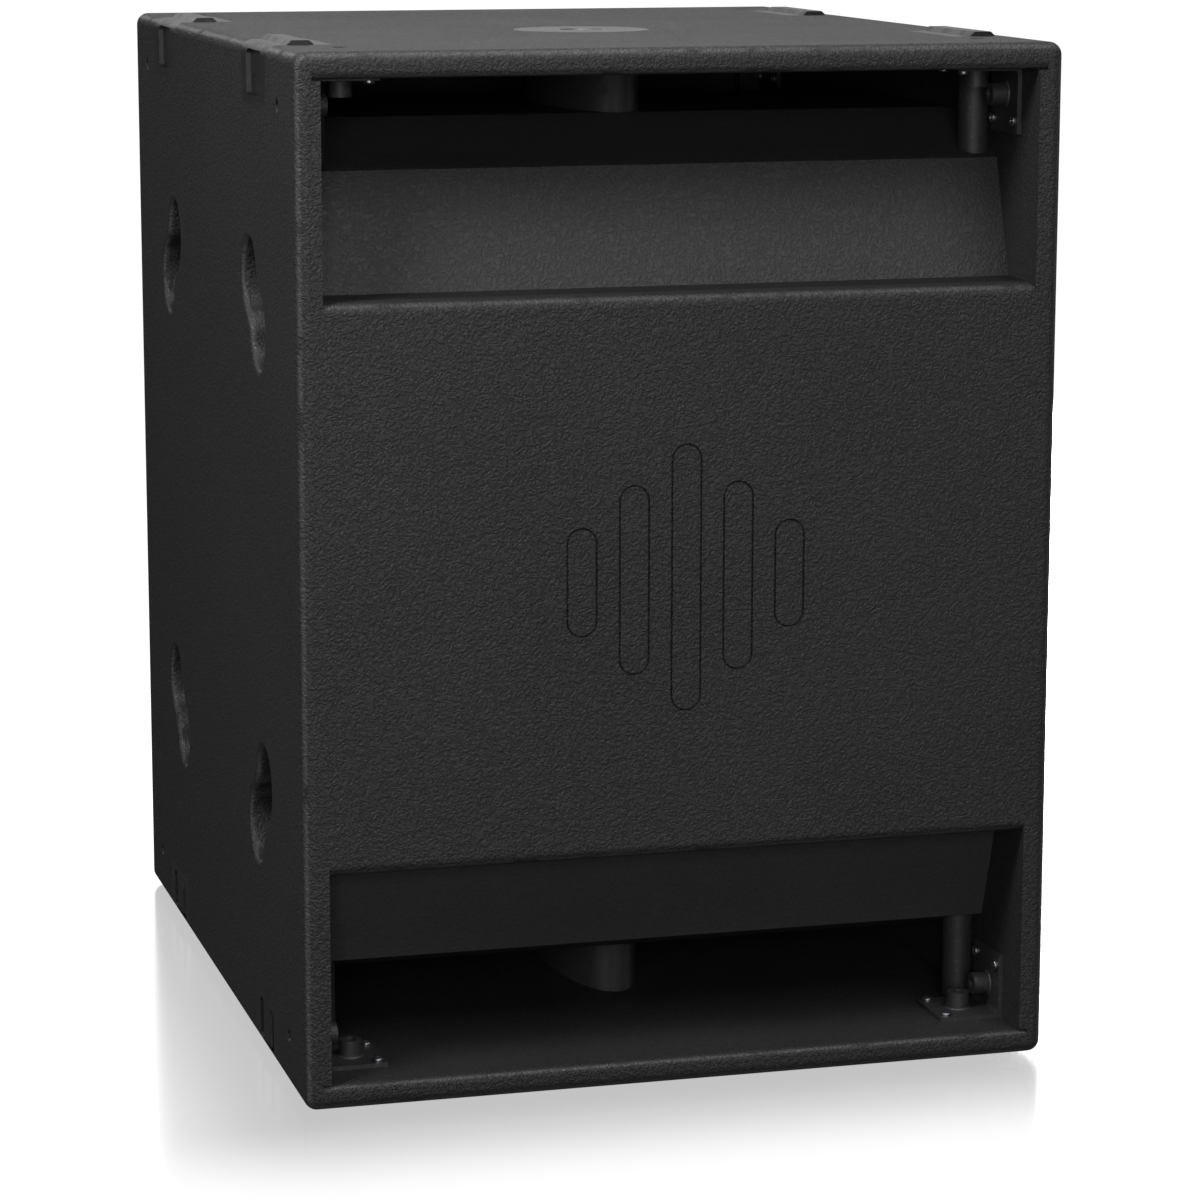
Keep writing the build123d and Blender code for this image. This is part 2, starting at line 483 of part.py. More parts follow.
WAVES = 4
wave = (SPIDER_R - 6 - 54.0) / (2 * WAVES)
crests = [(54.0 + k * wave, SPIDER_Y + (2.4 if k % 2 else 0.0)) for k in range(2 * WAVES + 1)]
front_line = [(FORMER_R_OUT + 0.5, SPIDER_Y)] + crests + [(SPIDER_R + 10, SPIDER_Y)]
# the outer rim is glued on the basket's landing
spider_outline = [(r, y + 3.5) for r, y in front_line] + [(r, y + 2.6) for r, y in reversed(front_line)]
parts["spider"] = turned(spider_outline)

terminal_z = MID_Z - 221.0
terminals = slab((-17, 17), (FLANGE_BACK, FLANGE_BACK + 11), (terminal_z - 7.5, terminal_z + 7.5))
terminals = fillet(terminals.edges().filter_by(Axis.Y), 2.0)
for x in (-9.0, 9.0):
    terminals += rod(3.2, (x, FLANGE_BACK + 11, terminal_z), (x, FLANGE_BACK + 19, terminal_z))
parts["driver_terminals"] = terminals

bolt = disc(6.5, (FLANGE_BACK, FLANGE_BACK + 7), z=MID_Z + DRIVER_BOLT_R)
hexagon = extrude(RegularPolygon(3.5, 6), 4, both=True)
bolt -= Pos(0, FLANGE_BACK + 6, MID_Z + DRIVER_BOLT_R) * Rot(90, 0, 0) * hexagon
bolt += disc(4.0, (BAFFLE_BACK - PLY + 2, FLANGE_BACK), z=MID_Z + DRIVER_BOLT_R)
parts["driver_bolts"] = Compound(around(bolt, DRIVER_BOLTS, 22.5))
nut = disc(8.5, (BAFFLE_BACK - PLY - 1.6, BAFFLE_BACK - PLY), z=MID_Z + DRIVER_BOLT_R)
nut -= disc(4.25, (BAFFLE_BACK - PLY - 3, BAFFLE_BACK - PLY + 1), z=MID_Z + DRIVER_BOLT_R)
parts["driver_tee_nuts"] = Compound(around(nut, DRIVER_BOLTS, 22.5))

# ---- amplifier module
def switch_box(half_x, y, half_z):
    """A box centred on the power switch, in X and Z."""
    return slab((SWITCH_X - half_x, SWITCH_X + half_x), y, (SWITCH_Z - half_z, SWITCH_Z + half_z))


dish_out = slab(
    (-AMP_DISH_X - AMP_SHEET, AMP_DISH_X + AMP_SHEET), (AMP_BACK, BACK),
    (AMP_DISH_Z[0] - AMP_SHEET, AMP_DISH_Z[1] + AMP_SHEET),
)
dish_in = slab((-AMP_DISH_X, AMP_DISH_X), (AMP_FACE, BACK + 1), AMP_DISH_Z)
dish_in = fillet(dish_in.edges().filter_by(Axis.Y), 8.0)
tray = dish_out + slab((-AMP_FLANGE_X, AMP_FLANGE_X), (BACK - AMP_FLANGE_T, BACK), AMP_Z) - dish_in
tray_gasket = slab((-AMP_FLANGE_X, AMP_FLANGE_X), (BACK - rebate, BACK - AMP_FLANGE_T), AMP_Z)
tray_gasket -= slab((-hole_x, hole_x), (BACK - PLY - 1, BACK), hole_z)

amp_mid_z, amp_half_z = sum(AMP_Z) / 2, (AMP_Z[1] - AMP_Z[0]) / 2 - 8.0
amp_heads = [(x, amp_mid_z + side * amp_half_z) for side in (-1, 1) for x in (-165.0, -55.0, 55.0, 165.0)]
amp_heads += [(side * 166.0, amp_mid_z + k * 42.0) for side in (-1, 1) for k in (-1, 1)]
for x, z in amp_heads:
    cut = sink((x, BACK, z), (0, -1, 0), depth=rebate + 1)
    tray -= cut
    tray_gasket -= cut
parts["amp_gasket"] = tray_gasket
parts["amp_screws"] = Compound([wood_screw((x, BACK, z), (0, -1, 0), length=16.0) for x, z in amp_heads])

through = (AMP_BACK - 1, AMP_FACE + 1)
for x in SOCKETS_X:
    tray -= disc(12.0, through, x, SOCKET_Z)
tray -= slab((INLET_X - 14.2, INLET_X + 14.2), through, (INLET_Z - 10.7, INLET_Z + 10.7))
frame_x, frame_z = SWITCH_HALF_X + SWITCH_WALL, SWITCH_HALF_Z + SWITCH_WALL
tray -= switch_box(frame_x, through, frame_z)
for x, z in ((LEVEL_X, LEVEL_Z), (MENU_X, MENU_Z)):
    tray -= disc(SHAFT_R + SHAFT_CLEAR, through, x, z)
for x, z in BUTTONS.values():
    tray -= disc(BUTTON_R + BUTTON_CLEAR, through, x, z)
tray -= slab(
    (WINDOW_X - WINDOW_HALF_X + 3, WINDOW_X + WINDOW_HALF_X - 3), through,
    (WINDOW_Z - WINDOW_HALF_Z + 3, WINDOW_Z + WINDOW_HALF_Z - 3),
)
board_x, board_z = 112.0, (98.0, 286.0)
posts = [(x, z) for x in (-board_x + 14, board_x - 14) for z in (board_z[0] + 8, board_z[1] - 8)]
for x, z in posts:
    tray += disc(3.5, (BOARD_Y + BOARD_T, AMP_BACK), x, z)
parts["amp_tray"] = tray

housing = slab((-HOUSING_X, HOUSING_X), (HOUSING_FRONT, AMP_BACK), HOUSING_Z)
housing = fillet(housing.edges().filter_by(Axis.Y), 6.0)
inside = slab(
    (-HOUSING_X + AMP_SHEET, HOUSING_X - AMP_SHEET), (HOUSING_FRONT + AMP_SHEET, AMP_BACK + 1),
    (HOUSING_Z[0] + AMP_SHEET, HOUSING_Z[1] - AMP_SHEET),
)
housing -= fillet(inside.edges().filter_by(Axis.Y), 4.0)
housing -= disc(LEAD_R + 0.2, (HOUSING_FRONT - 1, HOUSING_FRONT + 4), *LEAD_EXIT)
parts["amp_housing"] = housing

FIN_PITCH, FIN_T, FIN_H, FINS = 10.0, 2.4, 20.0, 25
SINK_Z, SINK_BASE = (212.0, 300.0), 4.0
fin_reach = FIN_PITCH * (FINS - 1) / 2
heat_sink = slab((-fin_reach - 6, fin_reach + 6), (AMP_FACE, AMP_FACE + SINK_BASE), SINK_Z)
for k in range(FINS):
    x = -fin_reach + k * FIN_PITCH
    fin_y = (AMP_FACE + SINK_BASE, AMP_FACE + SINK_BASE + FIN_H)
    heat_sink += slab((x - FIN_T / 2, x + FIN_T / 2), fin_y, SINK_Z)
parts["heat_sink"] = heat_sink

board = slab((-board_x, board_x), (BOARD_Y, BOARD_Y + BOARD_T), board_z)
for x, z in ((LEVEL_X, LEVEL_Z), (MENU_X, MENU_Z)):
    board += disc(8.0, (BOARD_Y + BOARD_T, AMP_BACK - 12.5), x, z)
for x, z in BUTTONS.values():
    board += slab((x - 4, x + 4), (BOARD_Y + BOARD_T, AMP_BACK - 7.5), (z - 4, z + 4))
for x, z in ((-60.0, 250.0), (0.0, 262.0), (58.0, 244.0)):
    board += slab((x - 12, x + 12), (BOARD_Y + BOARD_T, BOARD_Y + 8), (z - 12, z + 12))
parts["circuit_board"] = board

torus_x, torus_z, torus_y = -88.0, 200.0, (HOUSING_FRONT + AMP_SHEET, HOUSING_FRONT + 43)
transformer = disc(50.0, torus_y, torus_x, torus_z)
transformer = fillet(transformer.edges().filter_by(GeomType.CIRCLE), 9.0)
parts["transformer"] = transformer - disc(12.0, (torus_y[0] - 1, torus_y[1] + 1), torus_x, torus_z)

cans = []
for x, z in ((10.0, 150.0), (48.0, 150.0), (10.0, 190.0), (48.0, 190.0)):
    can = disc(15.0, (BOARD_Y - 40, BOARD_Y), x, z)
    cans.append(fillet(can.edges().filter_by(GeomType.CIRCLE).sort_by(Axis.Y)[:1], 1.5))
parts["capacitors"] = Compound(cans)


def signal_socket(x):
    """A round locking audio socket on a square flange, with three contact tubes inside."""
    plate = slab((x - 13, x + 13), (AMP_FACE, AMP_FACE + 2.5), (SOCKET_Z - 15.5, SOCKET_Z + 15.5))
    plate = fillet(plate.edges().filter_by(Axis.Y), 2.5)
    collar = disc(11.9, (AMP_FACE - 20, AMP_FACE + 4.5), x, SOCKET_Z)
    made = plate + collar - disc(9.6, (AMP_FACE - 16, AMP_FACE + 6), x, SOCKET_Z)
    for turn in (90, 210, 330):
        angle = math.radians(turn)
        pin_x, pin_z = x + 4.2 * math.cos(angle), SOCKET_Z + 4.2 * math.sin(angle)
        made += disc(1.6, (AMP_FACE - 17, AMP_FACE - 3), pin_x, pin_z)
    for step_x, step_z in ((-9.8, 12.2), (9.8, -12.2)):
        made -= disc(1.6, (AMP_FACE - 1, AMP_FACE + 6), x + step_x, SOCKET_Z + step_z)
    return made


parts["signal_sockets"] = Compound([signal_socket(x) for x in SOCKETS_X])

inlet = slab((INLET_X - 25, INLET_X + 25), (AMP_FACE, AMP_FACE + 3), (INLET_Z - 14, INLET_Z + 14))
inlet = fillet(inlet.edges().filter_by(Axis.Y), 6.0)
inlet += slab((INLET_X - 14, INLET_X + 14), (AMP_FACE - 22, AMP_FACE), (INLET_Z - 10.5, INLET_Z + 10.5))
inlet -= slab((INLET_X - 12, INLET_X + 12), (AMP_FACE - 19, AMP_FACE + 4), (INLET_Z - 8.4, INLET_Z + 8.4))
for x, z in ((-7.0, -2.0), (0.0, 3.0), (7.0, -2.0)):
    pin = slab((-1, 1), (AMP_FACE - 20, AMP_FACE - 4), (-2, 2))
    inlet += Pos(INLET_X + x, 0, INLET_Z + z) * pin
for x in (-20.0, 20.0):
    inlet -= disc(1.8, (AMP_FACE - 1, AMP_FACE + 4), INLET_X + x, INLET_Z)
parts["mains_inlet"] = inlet

# ---- power switch: a rocker on two trunnions in a snap-in frame
frame = switch_box(frame_x + 2, (AMP_FACE, AMP_FACE + 2), frame_z + 2)
frame = fillet(frame.edges().filter_by(Axis.Y), 2.0)
frame += switch_box(frame_x - 0.1, (AMP_FACE - 20, AMP_FACE), frame_z - 0.1)
frame -= switch_box(SWITCH_HALF_X, (AMP_FACE - 17, AMP_FACE + 3), SWITCH_HALF_Z)
pivot = (SWITCH_X, SWITCH_PIVOT_Y, SWITCH_Z)
trunnion_reach = SWITCH_HALF_X + 1.5
frame -= Pos(*pivot) * Rot(0, 90, 0) * Cylinder(1.55, 2 * trunnion_reach + 0.2)
parts["switch_frame"] = frame
rocker = prism_x([(-4, -8), (3, -12.8), (7.5, -12.8), (5.2, 0), (7.5, 12.8), (3, 12.8), (-4, 8)],
                 (-SWITCH_HALF_X + 0.4, SWITCH_HALF_X - 0.4))
rocker += Rot(0, 90, 0) * Cylinder(1.5, 2 * trunnion_reach)
parts["power_rocker"] = Pos(*pivot) * Rot(-ROCKER_TILT, 0, 0) * rocker


def knob(x, z, radius, depth, flutes):
    """A fluted control knob with its shaft and a pointer line on the crown."""
    seat = AMP_FACE + 1.2
    made = disc(radius, (seat, seat + depth), x, z)
    made = fillet(made.edges().filter_by(GeomType.CIRCLE).sort_by(Axis.Y)[-1:], 1.2)
    for k in range(flutes):
        angle = 2 * math.pi * (k + 0.5) / flutes
        flute = (x + (radius + 0.9) * math.cos(angle), z + (radius + 0.9) * math.sin(angle))
        made -= disc(1.5, (seat + 3, seat + depth + 1), *flute)
    line_y = (seat + depth - 0.6, seat + depth + 1)
    made -= slab((x - 0.6, x + 0.6), line_y, (z + radius * 0.35, z + radius + 1))
    return made + disc(SHAFT_R, (AMP_BACK - 12, seat), x, z)


parts["level_knob"] = knob(LEVEL_X, LEVEL_Z, LEVEL_R, 15.0, 16)
parts["menu_knob"] = knob(MENU_X, MENU_Z, MENU_R, 13.0, 20)
for name, (x, z) in BUTTONS.items():
    cap = disc(BUTTON_R, (AMP_BACK - 3, AMP_FACE + 5), x, z)
    cap = fillet(cap.edges().filter_by(GeomType.CIRCLE).sort_by(Axis.Y)[-1:], 1.0)
    cap += disc(BUTTON_R + 1.5, (AMP_BACK - 4.5, AMP_BACK - 2), x, z)
    parts[name] = cap - disc(2.0, (AMP_FACE + 4.6, AMP_FACE + 6), x, z)
window_pane = slab(
    (WINDOW_X - WINDOW_HALF_X, WINDOW_X + WINDOW_HALF_X), (AMP_FACE, AMP_FACE + 2),
    (WINDOW_Z - WINDOW_HALF_Z, WINDOW_Z + WINDOW_HALF_Z),
)
window_pane = fillet(window_pane.edges().filter_by(Axis.Y), 3.0)
parts["status_window"] = fillet(window_pane.edges().group_by(Axis.Y)[-1], 0.6)

# ---- the lead from the amplifier to the driver's terminals, on one gently curved route
lead_x, lead_z = LEAD_EXIT
route = [
    (lead_x, HOUSING_FRONT + 1, lead_z), (lead_x, HOUSING_FRONT - 30, lead_z), (lead_x + 6, 145, lead_z - 6),
    (lead_x + 16, 105, lead_z - 2), (lead_x + 28, 62, lead_z + 8), (-16, 26, lead_z + 20),
    (-9, FLANGE_BACK + 32, terminal_z - 2), (-9, FLANGE_BACK + 19, terminal_z),
]
corners = [Vector(*point) for point in route]
radii = []
for before, at, after in zip(corners, corners[1:], corners[2:]):
    half_turn = math.radians((at - before).get_angle(after - at)) / 2
    radii.append(0.45 * min((at - before).length, (after - at).length) / math.tan(half_turn))
print("driver lead radii", [round(r) for r in radii])
line = FilletPolyline(*route, radius=radii)
section = Plane(origin=route[0], z_dir=(0, -1, 0)) * Circle(LEAD_R)
lead = sweep(section, path=line)
straightened = math.pi * LEAD_R**2 * line.length
print("driver lead volume", round(lead.volume), "section times length", round(straightened))
parts["driver_lead"] = lead

os.makedirs("parts", exist_ok=True)
for name, shape in parts.items():
    export_step(shape, f"parts/{name}.step")
print(len(parts), "parts written")
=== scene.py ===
"""Looks of a band-pass subwoofer cabinet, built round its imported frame. Metres, +X right, +Y back, +Z up."""

import math

import bpy
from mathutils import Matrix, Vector
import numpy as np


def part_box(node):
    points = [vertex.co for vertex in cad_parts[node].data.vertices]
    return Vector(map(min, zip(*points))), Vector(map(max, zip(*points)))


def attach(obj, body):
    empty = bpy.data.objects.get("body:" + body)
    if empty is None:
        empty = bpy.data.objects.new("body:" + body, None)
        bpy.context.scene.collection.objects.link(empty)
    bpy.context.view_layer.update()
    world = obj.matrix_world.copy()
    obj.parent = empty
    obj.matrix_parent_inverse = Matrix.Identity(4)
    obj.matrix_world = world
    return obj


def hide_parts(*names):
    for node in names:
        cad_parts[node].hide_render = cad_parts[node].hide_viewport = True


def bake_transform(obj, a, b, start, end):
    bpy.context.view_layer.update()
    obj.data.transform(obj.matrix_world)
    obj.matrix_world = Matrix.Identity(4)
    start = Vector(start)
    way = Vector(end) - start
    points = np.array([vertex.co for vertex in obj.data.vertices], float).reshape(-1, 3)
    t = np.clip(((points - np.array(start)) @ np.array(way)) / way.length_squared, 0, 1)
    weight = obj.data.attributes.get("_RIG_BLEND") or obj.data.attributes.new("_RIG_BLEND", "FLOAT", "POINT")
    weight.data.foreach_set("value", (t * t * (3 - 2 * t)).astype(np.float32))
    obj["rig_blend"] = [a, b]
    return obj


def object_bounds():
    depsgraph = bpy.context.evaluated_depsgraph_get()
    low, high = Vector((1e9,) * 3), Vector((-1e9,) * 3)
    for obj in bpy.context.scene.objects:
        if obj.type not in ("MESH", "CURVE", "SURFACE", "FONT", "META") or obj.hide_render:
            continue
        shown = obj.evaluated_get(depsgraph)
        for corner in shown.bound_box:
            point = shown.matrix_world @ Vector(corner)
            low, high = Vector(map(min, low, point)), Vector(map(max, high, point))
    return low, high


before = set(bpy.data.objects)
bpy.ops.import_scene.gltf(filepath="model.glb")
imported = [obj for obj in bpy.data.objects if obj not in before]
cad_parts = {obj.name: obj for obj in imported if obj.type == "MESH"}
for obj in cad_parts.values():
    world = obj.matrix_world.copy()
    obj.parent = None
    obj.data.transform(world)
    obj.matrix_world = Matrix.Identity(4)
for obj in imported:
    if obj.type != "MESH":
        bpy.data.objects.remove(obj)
cad_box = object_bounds()
bpy.ops.object.select_all(action="DESELECT")

# ---- Studio camera
# A long lens at head height, to the left of the cabinet's front and turned a little to the right, so that the whole
# front, the left side and a sliver of the top show.
CAMERA_PLACE = (-0.7683, -2.8676, 0.8513)
CAMERA_PITCH, CAMERA_YAW = 10.877, 15.054
LENS, FILM = 118.26, 36.0

camera_data = bpy.data.cameras.new("camera")
camera_data.sensor_width = FILM
camera_data.lens = LENS
camera_data.shift_x = 0.02833
camera_data.shift_y = 0.00583
camera_data.clip_end = 200.0
camera = bpy.data.objects.new("camera", camera_data)
camera.location = CAMERA_PLACE
camera.rotation_euler = (math.radians(90.0 - CAMERA_PITCH), 0.0, math.radians(-CAMERA_YAW))
bpy.context.scene.collection.objects.link(camera)
bpy.context.scene.camera = camera


# ---- Cabinet shell
# Six birch plywood panels, glued at the corners and rounded over with a router. The whole outside is sprayed with a
# tough black coating that dries with short raised worms and wears smooth and slightly grey along the rounded edges;
# that lighter grey along the edges is also a painted highlight.
class Wire:
    """One socket of a finish, so that shader maths reads as a plain sum."""

    def __init__(self, finish, socket):
        self.finish = finish
        self.socket = socket

    def reckon(self, operation, left, right):
        return self.finish.add("ShaderNodeMath", {"operation": operation}, {0: left, 1: right})

    def __add__(self, other):
        return self.reckon("ADD", self, other)

    def __radd__(self, other):
        return self.reckon("ADD", other, self)

    def __sub__(self, other):
        return self.reckon("SUBTRACT", self, other)

    def __rsub__(self, other):
        return self.reckon("SUBTRACT", other, self)

    def __mul__(self, other):
        return self.reckon("MULTIPLY", self, other)

    def __rmul__(self, other):
        return self.reckon("MULTIPLY", other, self)

    def __truediv__(self, other):
        return self.reckon("DIVIDE", self, other)

    def __pow__(self, other):
        return self.reckon("POWER", self, other)

    def higher(self, other):
        return self.reckon("MAXIMUM", self, other)

    def wave(self):
        return self.reckon("SINE", self, 0.0)

    def size(self):
        return self.reckon("ABSOLUTE", self, 0.0)

    def angle_to(self, other):
        return self.reckon("ARCTAN2", self, other)

    def zigzag(self, reach):
        """Up to reach and down again, over and over."""
        return self.reckon("PINGPONG", self, reach)

    def step(self, low, high):
        """0 below low, 1 above high, with a soft change between."""
        return self.finish.add(
            "ShaderNodeMapRange", {"interpolation_type": "SMOOTHSTEP"}, {0: self, 1: low, 2: high}
        )


class Finish:
    """A material being made, or the studio's air. Every node but its shader comes from add()."""

    def __init__(self, name, of=bpy.data.materials, shader="Principled BSDF"):
        self.material = of.new(name)
        self.material.use_nodes = True
        self.tree = self.material.node_tree
        self.shader = self.tree.nodes[shader]
        self.where = self.add("ShaderNodeTexCoord", out="Object")

    def add(self, kind, settings=None, sockets=None, out=0):
        made = self.tree.nodes.new(kind)
        for key, value in (settings or {}).items():
            setattr(made, key, value)
        for key, value in (sockets or {}).items():
            self.feed(made.inputs[key], value)
        return Wire(self, made.outputs[out])

    def feed(self, socket, value):
        if isinstance(value, Wire):
            self.tree.links.new(value.socket, socket)
        else:
            socket.default_value = value

    def axis(self, letter, of=None):
        return self.add("ShaderNodeSeparateXYZ", None, {0: of or self.where}, out="XYZ".index(letter))

    def noise(self, scale, detail=2.0, twist=0.0, at=None):
        sockets = {"Vector": at or self.where, "Scale": scale, "Detail": detail, "Distortion": twist}
        return self.add("ShaderNodeTexNoise", None, sockets)

    def stretched(self, x, y, z):
        """Object coordinates drawn out, so that a grain runs along one axis."""
        return self.add("ShaderNodeVectorMath", {"operation": "MULTIPLY"}, {0: self.where, 1: (x, y, z)})

    def cells(self, scale, feature="F1", at=None, out="Distance"):
        settings = {"feature": feature}
        return self.add("ShaderNodeTexVoronoi", settings, {"Vector": at or self.where, "Scale": scale}, out=out)

    def away_from(self, middle, letters):
        """Offsets from middle along two axes, and the distance in their plane."""
        first = self.axis(letters[0]) - middle["XYZ".index(letters[0])]
        second = self.axis(letters[1]) - middle["XYZ".index(letters[1])]
        return first, second, (first * first + second * second) ** 0.5

    def mix(self, share, first, second):
        """A colour between two colours."""
        sockets = {0: share, 6: self.colour(first), 7: self.colour(second)}
        return self.add("ShaderNodeMix", {"data_type": "RGBA"}, sockets, out=2)

    def colour(self, value):
        return value if isinstance(value, Wire) else (*value, 1.0)

    def bump(self, height, depth):
        return self.add("ShaderNodeBump", None, {"Height": height, "Distance": depth})

    def wear(self, scale=60.0, low=0.05, high=0.22, even=0.40):
        """A rubbed mask along rounded edges, broken up by a noise. A lower even leaves fewer gaps."""
        normal = self.add("ShaderNodeTexCoord", out="Normal")
        sides = [self.axis(letter, normal).size() for letter in "XYZ"]
        rounding = 1.0 - sides[0].higher(sides[1]).higher(sides[2])
        return rounding.step(low, high) * self.noise(scale, 4.0).step(even, even + 0.20)

    def finish(self, colour, roughness, normal=None, **plain):
        """Connects the shader. plain holds values that are the same all over, by socket name."""
        self.feed(self.shader.inputs["Base Color"], self.colour(colour))
        self.feed(self.shader.inputs["Roughness"], roughness)
        if normal:
            self.feed(self.shader.inputs["Normal"], normal)
        for key, value in plain.items():
            self.feed(self.shader.inputs[key.replace("_", " ")], value)

    def on(self, *names):
        """Puts the finish on CAD nodes."""
        for name in names:
            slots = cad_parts[name].data.materials
            slots.clear()
            slots.append(self.material)


def sprayed_coat(name, black, worm_depth, gloss, engraved=0.0):
    """Textured black spray coating: raised worms a few millimetres long over a fine orange peel. Where the wood behind
    the front face is engraved, within a square of that half width, the coat down in the grooves is darkened: painted
    shade."""
    coat = Finish(name)
    drift = coat.add("ShaderNodeTexNoise", None, {"Vector": coat.where, "Scale": 110.0, "Detail": 1.0}, out="Color")
    bent = coat.add(
        "ShaderNodeVectorMath", {"operation": "MULTIPLY_ADD"}, {0: drift, 1: (0.005, 0.005, 0.005), 2: coat.where}
    )
    worms = coat.noise(420.0, 1.5, 0.8, at=bent).step(0.36, 0.62)
    peel = coat.noise(900.0, 2.0)
    cloud = coat.noise(7.0, 3.0)
    worn = coat.wear(45.0, 0.08, 0.26, even=0.28)
    tone = coat.mix(cloud * 0.6 + worms * 0.4, [c * 0.80 for c in black], [c * 1.28 for c in black])
    # The lighter grey along the rounded edges is partly rubbed wear and partly a painted highlight along them.
    shade = coat.mix(worn * 0.6, tone, (0.078, 0.078, 0.080))
    if engraved:
        # Painted shade: the coat is darkened down in the engraved grooves on the front.
        inside = coat.axis("X").size().higher((coat.axis("Z") - (cad_box[0].z + cad_box[1].z) / 2).size())
        groove_painted_shade = (coat.axis("Y") - cad_box[0].y).step(0.0001, 0.0005) * (1.0 - inside.step(engraved, engraved + 0.001))
        shade = coat.mix(groove_painted_shade * 0.8, shade, (0.004, 0.004, 0.004))
    roughness = gloss + cloud * 0.10 - worms * 0.06 - worn * 0.16
    coat.finish(shade, roughness, coat.bump(worms + peel * 0.5, worm_depth), Specular_IOR_Level=0.2)
    return coat


sprayed_coat("textured_black_coat", (0.0235, 0.0235, 0.0245), 0.00048, 0.48).on(
    "left_side_panel", "right_side_panel", "top_panel", "bottom_panel", "back_panel"
)
sprayed_coat("front_coat", (0.0235, 0.0235, 0.0245), 0.00050, 0.48, engraved=0.14).on("front_panel")

# ---- Horn boards in the mouths
# Ledges, slanted deflectors, ramps, port shelves and oval columns: plywood cut to a bevel and glued between the
# sides. The lower boards, all that lies deep in the mouths and the battens behind them got a thinner, duller coat. The
# coats in the mouths are copies of the black coat, painted lighter or darker for light and shade: the upper deflector's
# and the inner coat are painted lighter (painted light), the upper ledge's is darker (painted shade), and the battens
# are kept dark in the inner coat instead of bare birch (painted shade).
# Painted light: the upper deflector's coat is lighter than the outside coat.
sprayed_coat("deflector_coat_painted_light", (0.031, 0.031, 0.032), 0.00040, 0.52).on("upper_deflector")
# Painted shade: the upper ledge's coat is darker, because it lies in shadow under the top.
sprayed_coat("ledge_coat_painted_shade", (0.012, 0.012, 0.0125), 0.00040, 0.60).on("upper_mouth_ledge")
# Painted light: the coat deep in the mouths is lighter than the outside coat. The battens are put in it instead of bare
# birch so that they stay dark, as painted shade in the closed chamber.
sprayed_coat("thin_inner_coat_painted_light", (0.033, 0.033, 0.034), 0.00014, 0.58).on(
    "lower_deflector", "lower_mouth_ledge", "upper_ramp", "lower_ramp", "upper_port_shelf", "lower_port_shelf",
    "upper_column", "lower_column", "back_battens",
)

# ---- Driver baffle
# Bare birch plywood, sealed with one thin coat of lacquer. The driver bolts to it, and layers of veneer show round its
# cutout.
birch = Finish("birch_ply")
grain = birch.noise(34.0, 6.0, 0.5, at=birch.stretched(0.12, 1.0, 1.0))
fleck = birch.noise(900.0, 2.0, at=birch.stretched(0.05, 1.0, 1.0)).step(0.56, 0.66)
veneer = (birch.axis("Y") * 1000.0).zigzag(1.4).step(0.5, 0.9)
birch_tone = birch.mix(grain.step(0.35, 0.7), (0.58, 0.42, 0.26), (0.74, 0.59, 0.41))
birch_layers = birch.mix(veneer * 0.35, birch_tone, (0.44, 0.30, 0.18))
birch.finish(birch.mix(fleck * 0.5, birch_layers, (0.40, 0.27, 0.16)), 0.50 + grain * 0.14,
             birch.bump(grain + fleck * 0.3, 0.0002))
birch.on("driver_baffle")

# ---- Rigging brackets and tie tubes
# Each inner corner has a folded 3 mm steel angle with two tapped bosses welded on, and a steel tube beside it ties the
# throat open. All are powder-coated black after welding, and the paint has rubbed thin in spots.
steel = Finish("black_powder_coat")
spatter = steel.noise(1500.0, 2.0)
rubbed = steel.noise(240.0, 4.0).step(0.60, 0.70) * 0.35
steel.finish(steel.mix(rubbed, (0.026, 0.026, 0.028), (0.12, 0.118, 0.114)), 0.48 + spatter * 0.16 - rubbed * 0.2,
             steel.bump(spatter, 0.00012), Metallic=0.2)
steel.on("rigging_brackets", "tie_tubes")


# ---- Weld beads round the bosses
# A ring of filler where each boss meets its steel angle, laid in small overlapping ripples by a welder going round it
# once, and coated with the rest.
def name_piece(name, finish, body="cabinet"):
    """Names the active object, puts its place in its mesh, and gives it a finish and a body to ride on."""
    piece = bpy.context.object
    piece.name = name
    bpy.ops.object.transform_apply(location=True, rotation=True, scale=True)
    bpy.ops.object.shade_smooth_by_angle(angle=math.radians(35.0))
    piece.data.materials.clear()
    piece.data.materials.append(finish.material)
    if body:
        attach(piece, body)
    piece.select_set(False)
    return piece


def set_out(first, places):
    """Puts the piece and copies of it, each with its own mesh, at (location, rotation, scale), and joins them."""
    made = [first]
    for _ in places[1:]:
        made.append(first.copy())
        made[-1].data = first.data.copy()
        bpy.context.scene.collection.objects.link(made[-1])
    bpy.ops.object.select_all(action="DESELECT")
    for piece, (location, rotation, scale) in zip(made, places):
        piece.location = location
        piece.rotation_euler = rotation
        piece.scale = scale
        piece.select_set(True)
    bpy.context.view_layer.objects.active = first
    bpy.ops.object.join()


def pick(piece, wanted):
    """In edit mode, selects only the vertices that wanted says yes to."""
    bpy.ops.mesh.select_all(action="DESELECT")
    bpy.ops.mesh.select_mode(type="VERT")
    bpy.ops.object.mode_set(mode="OBJECT")
    for vertex in piece.data.vertices:
        vertex.select = wanted(vertex)
    bpy.ops.object.mode_set(mode="EDIT")


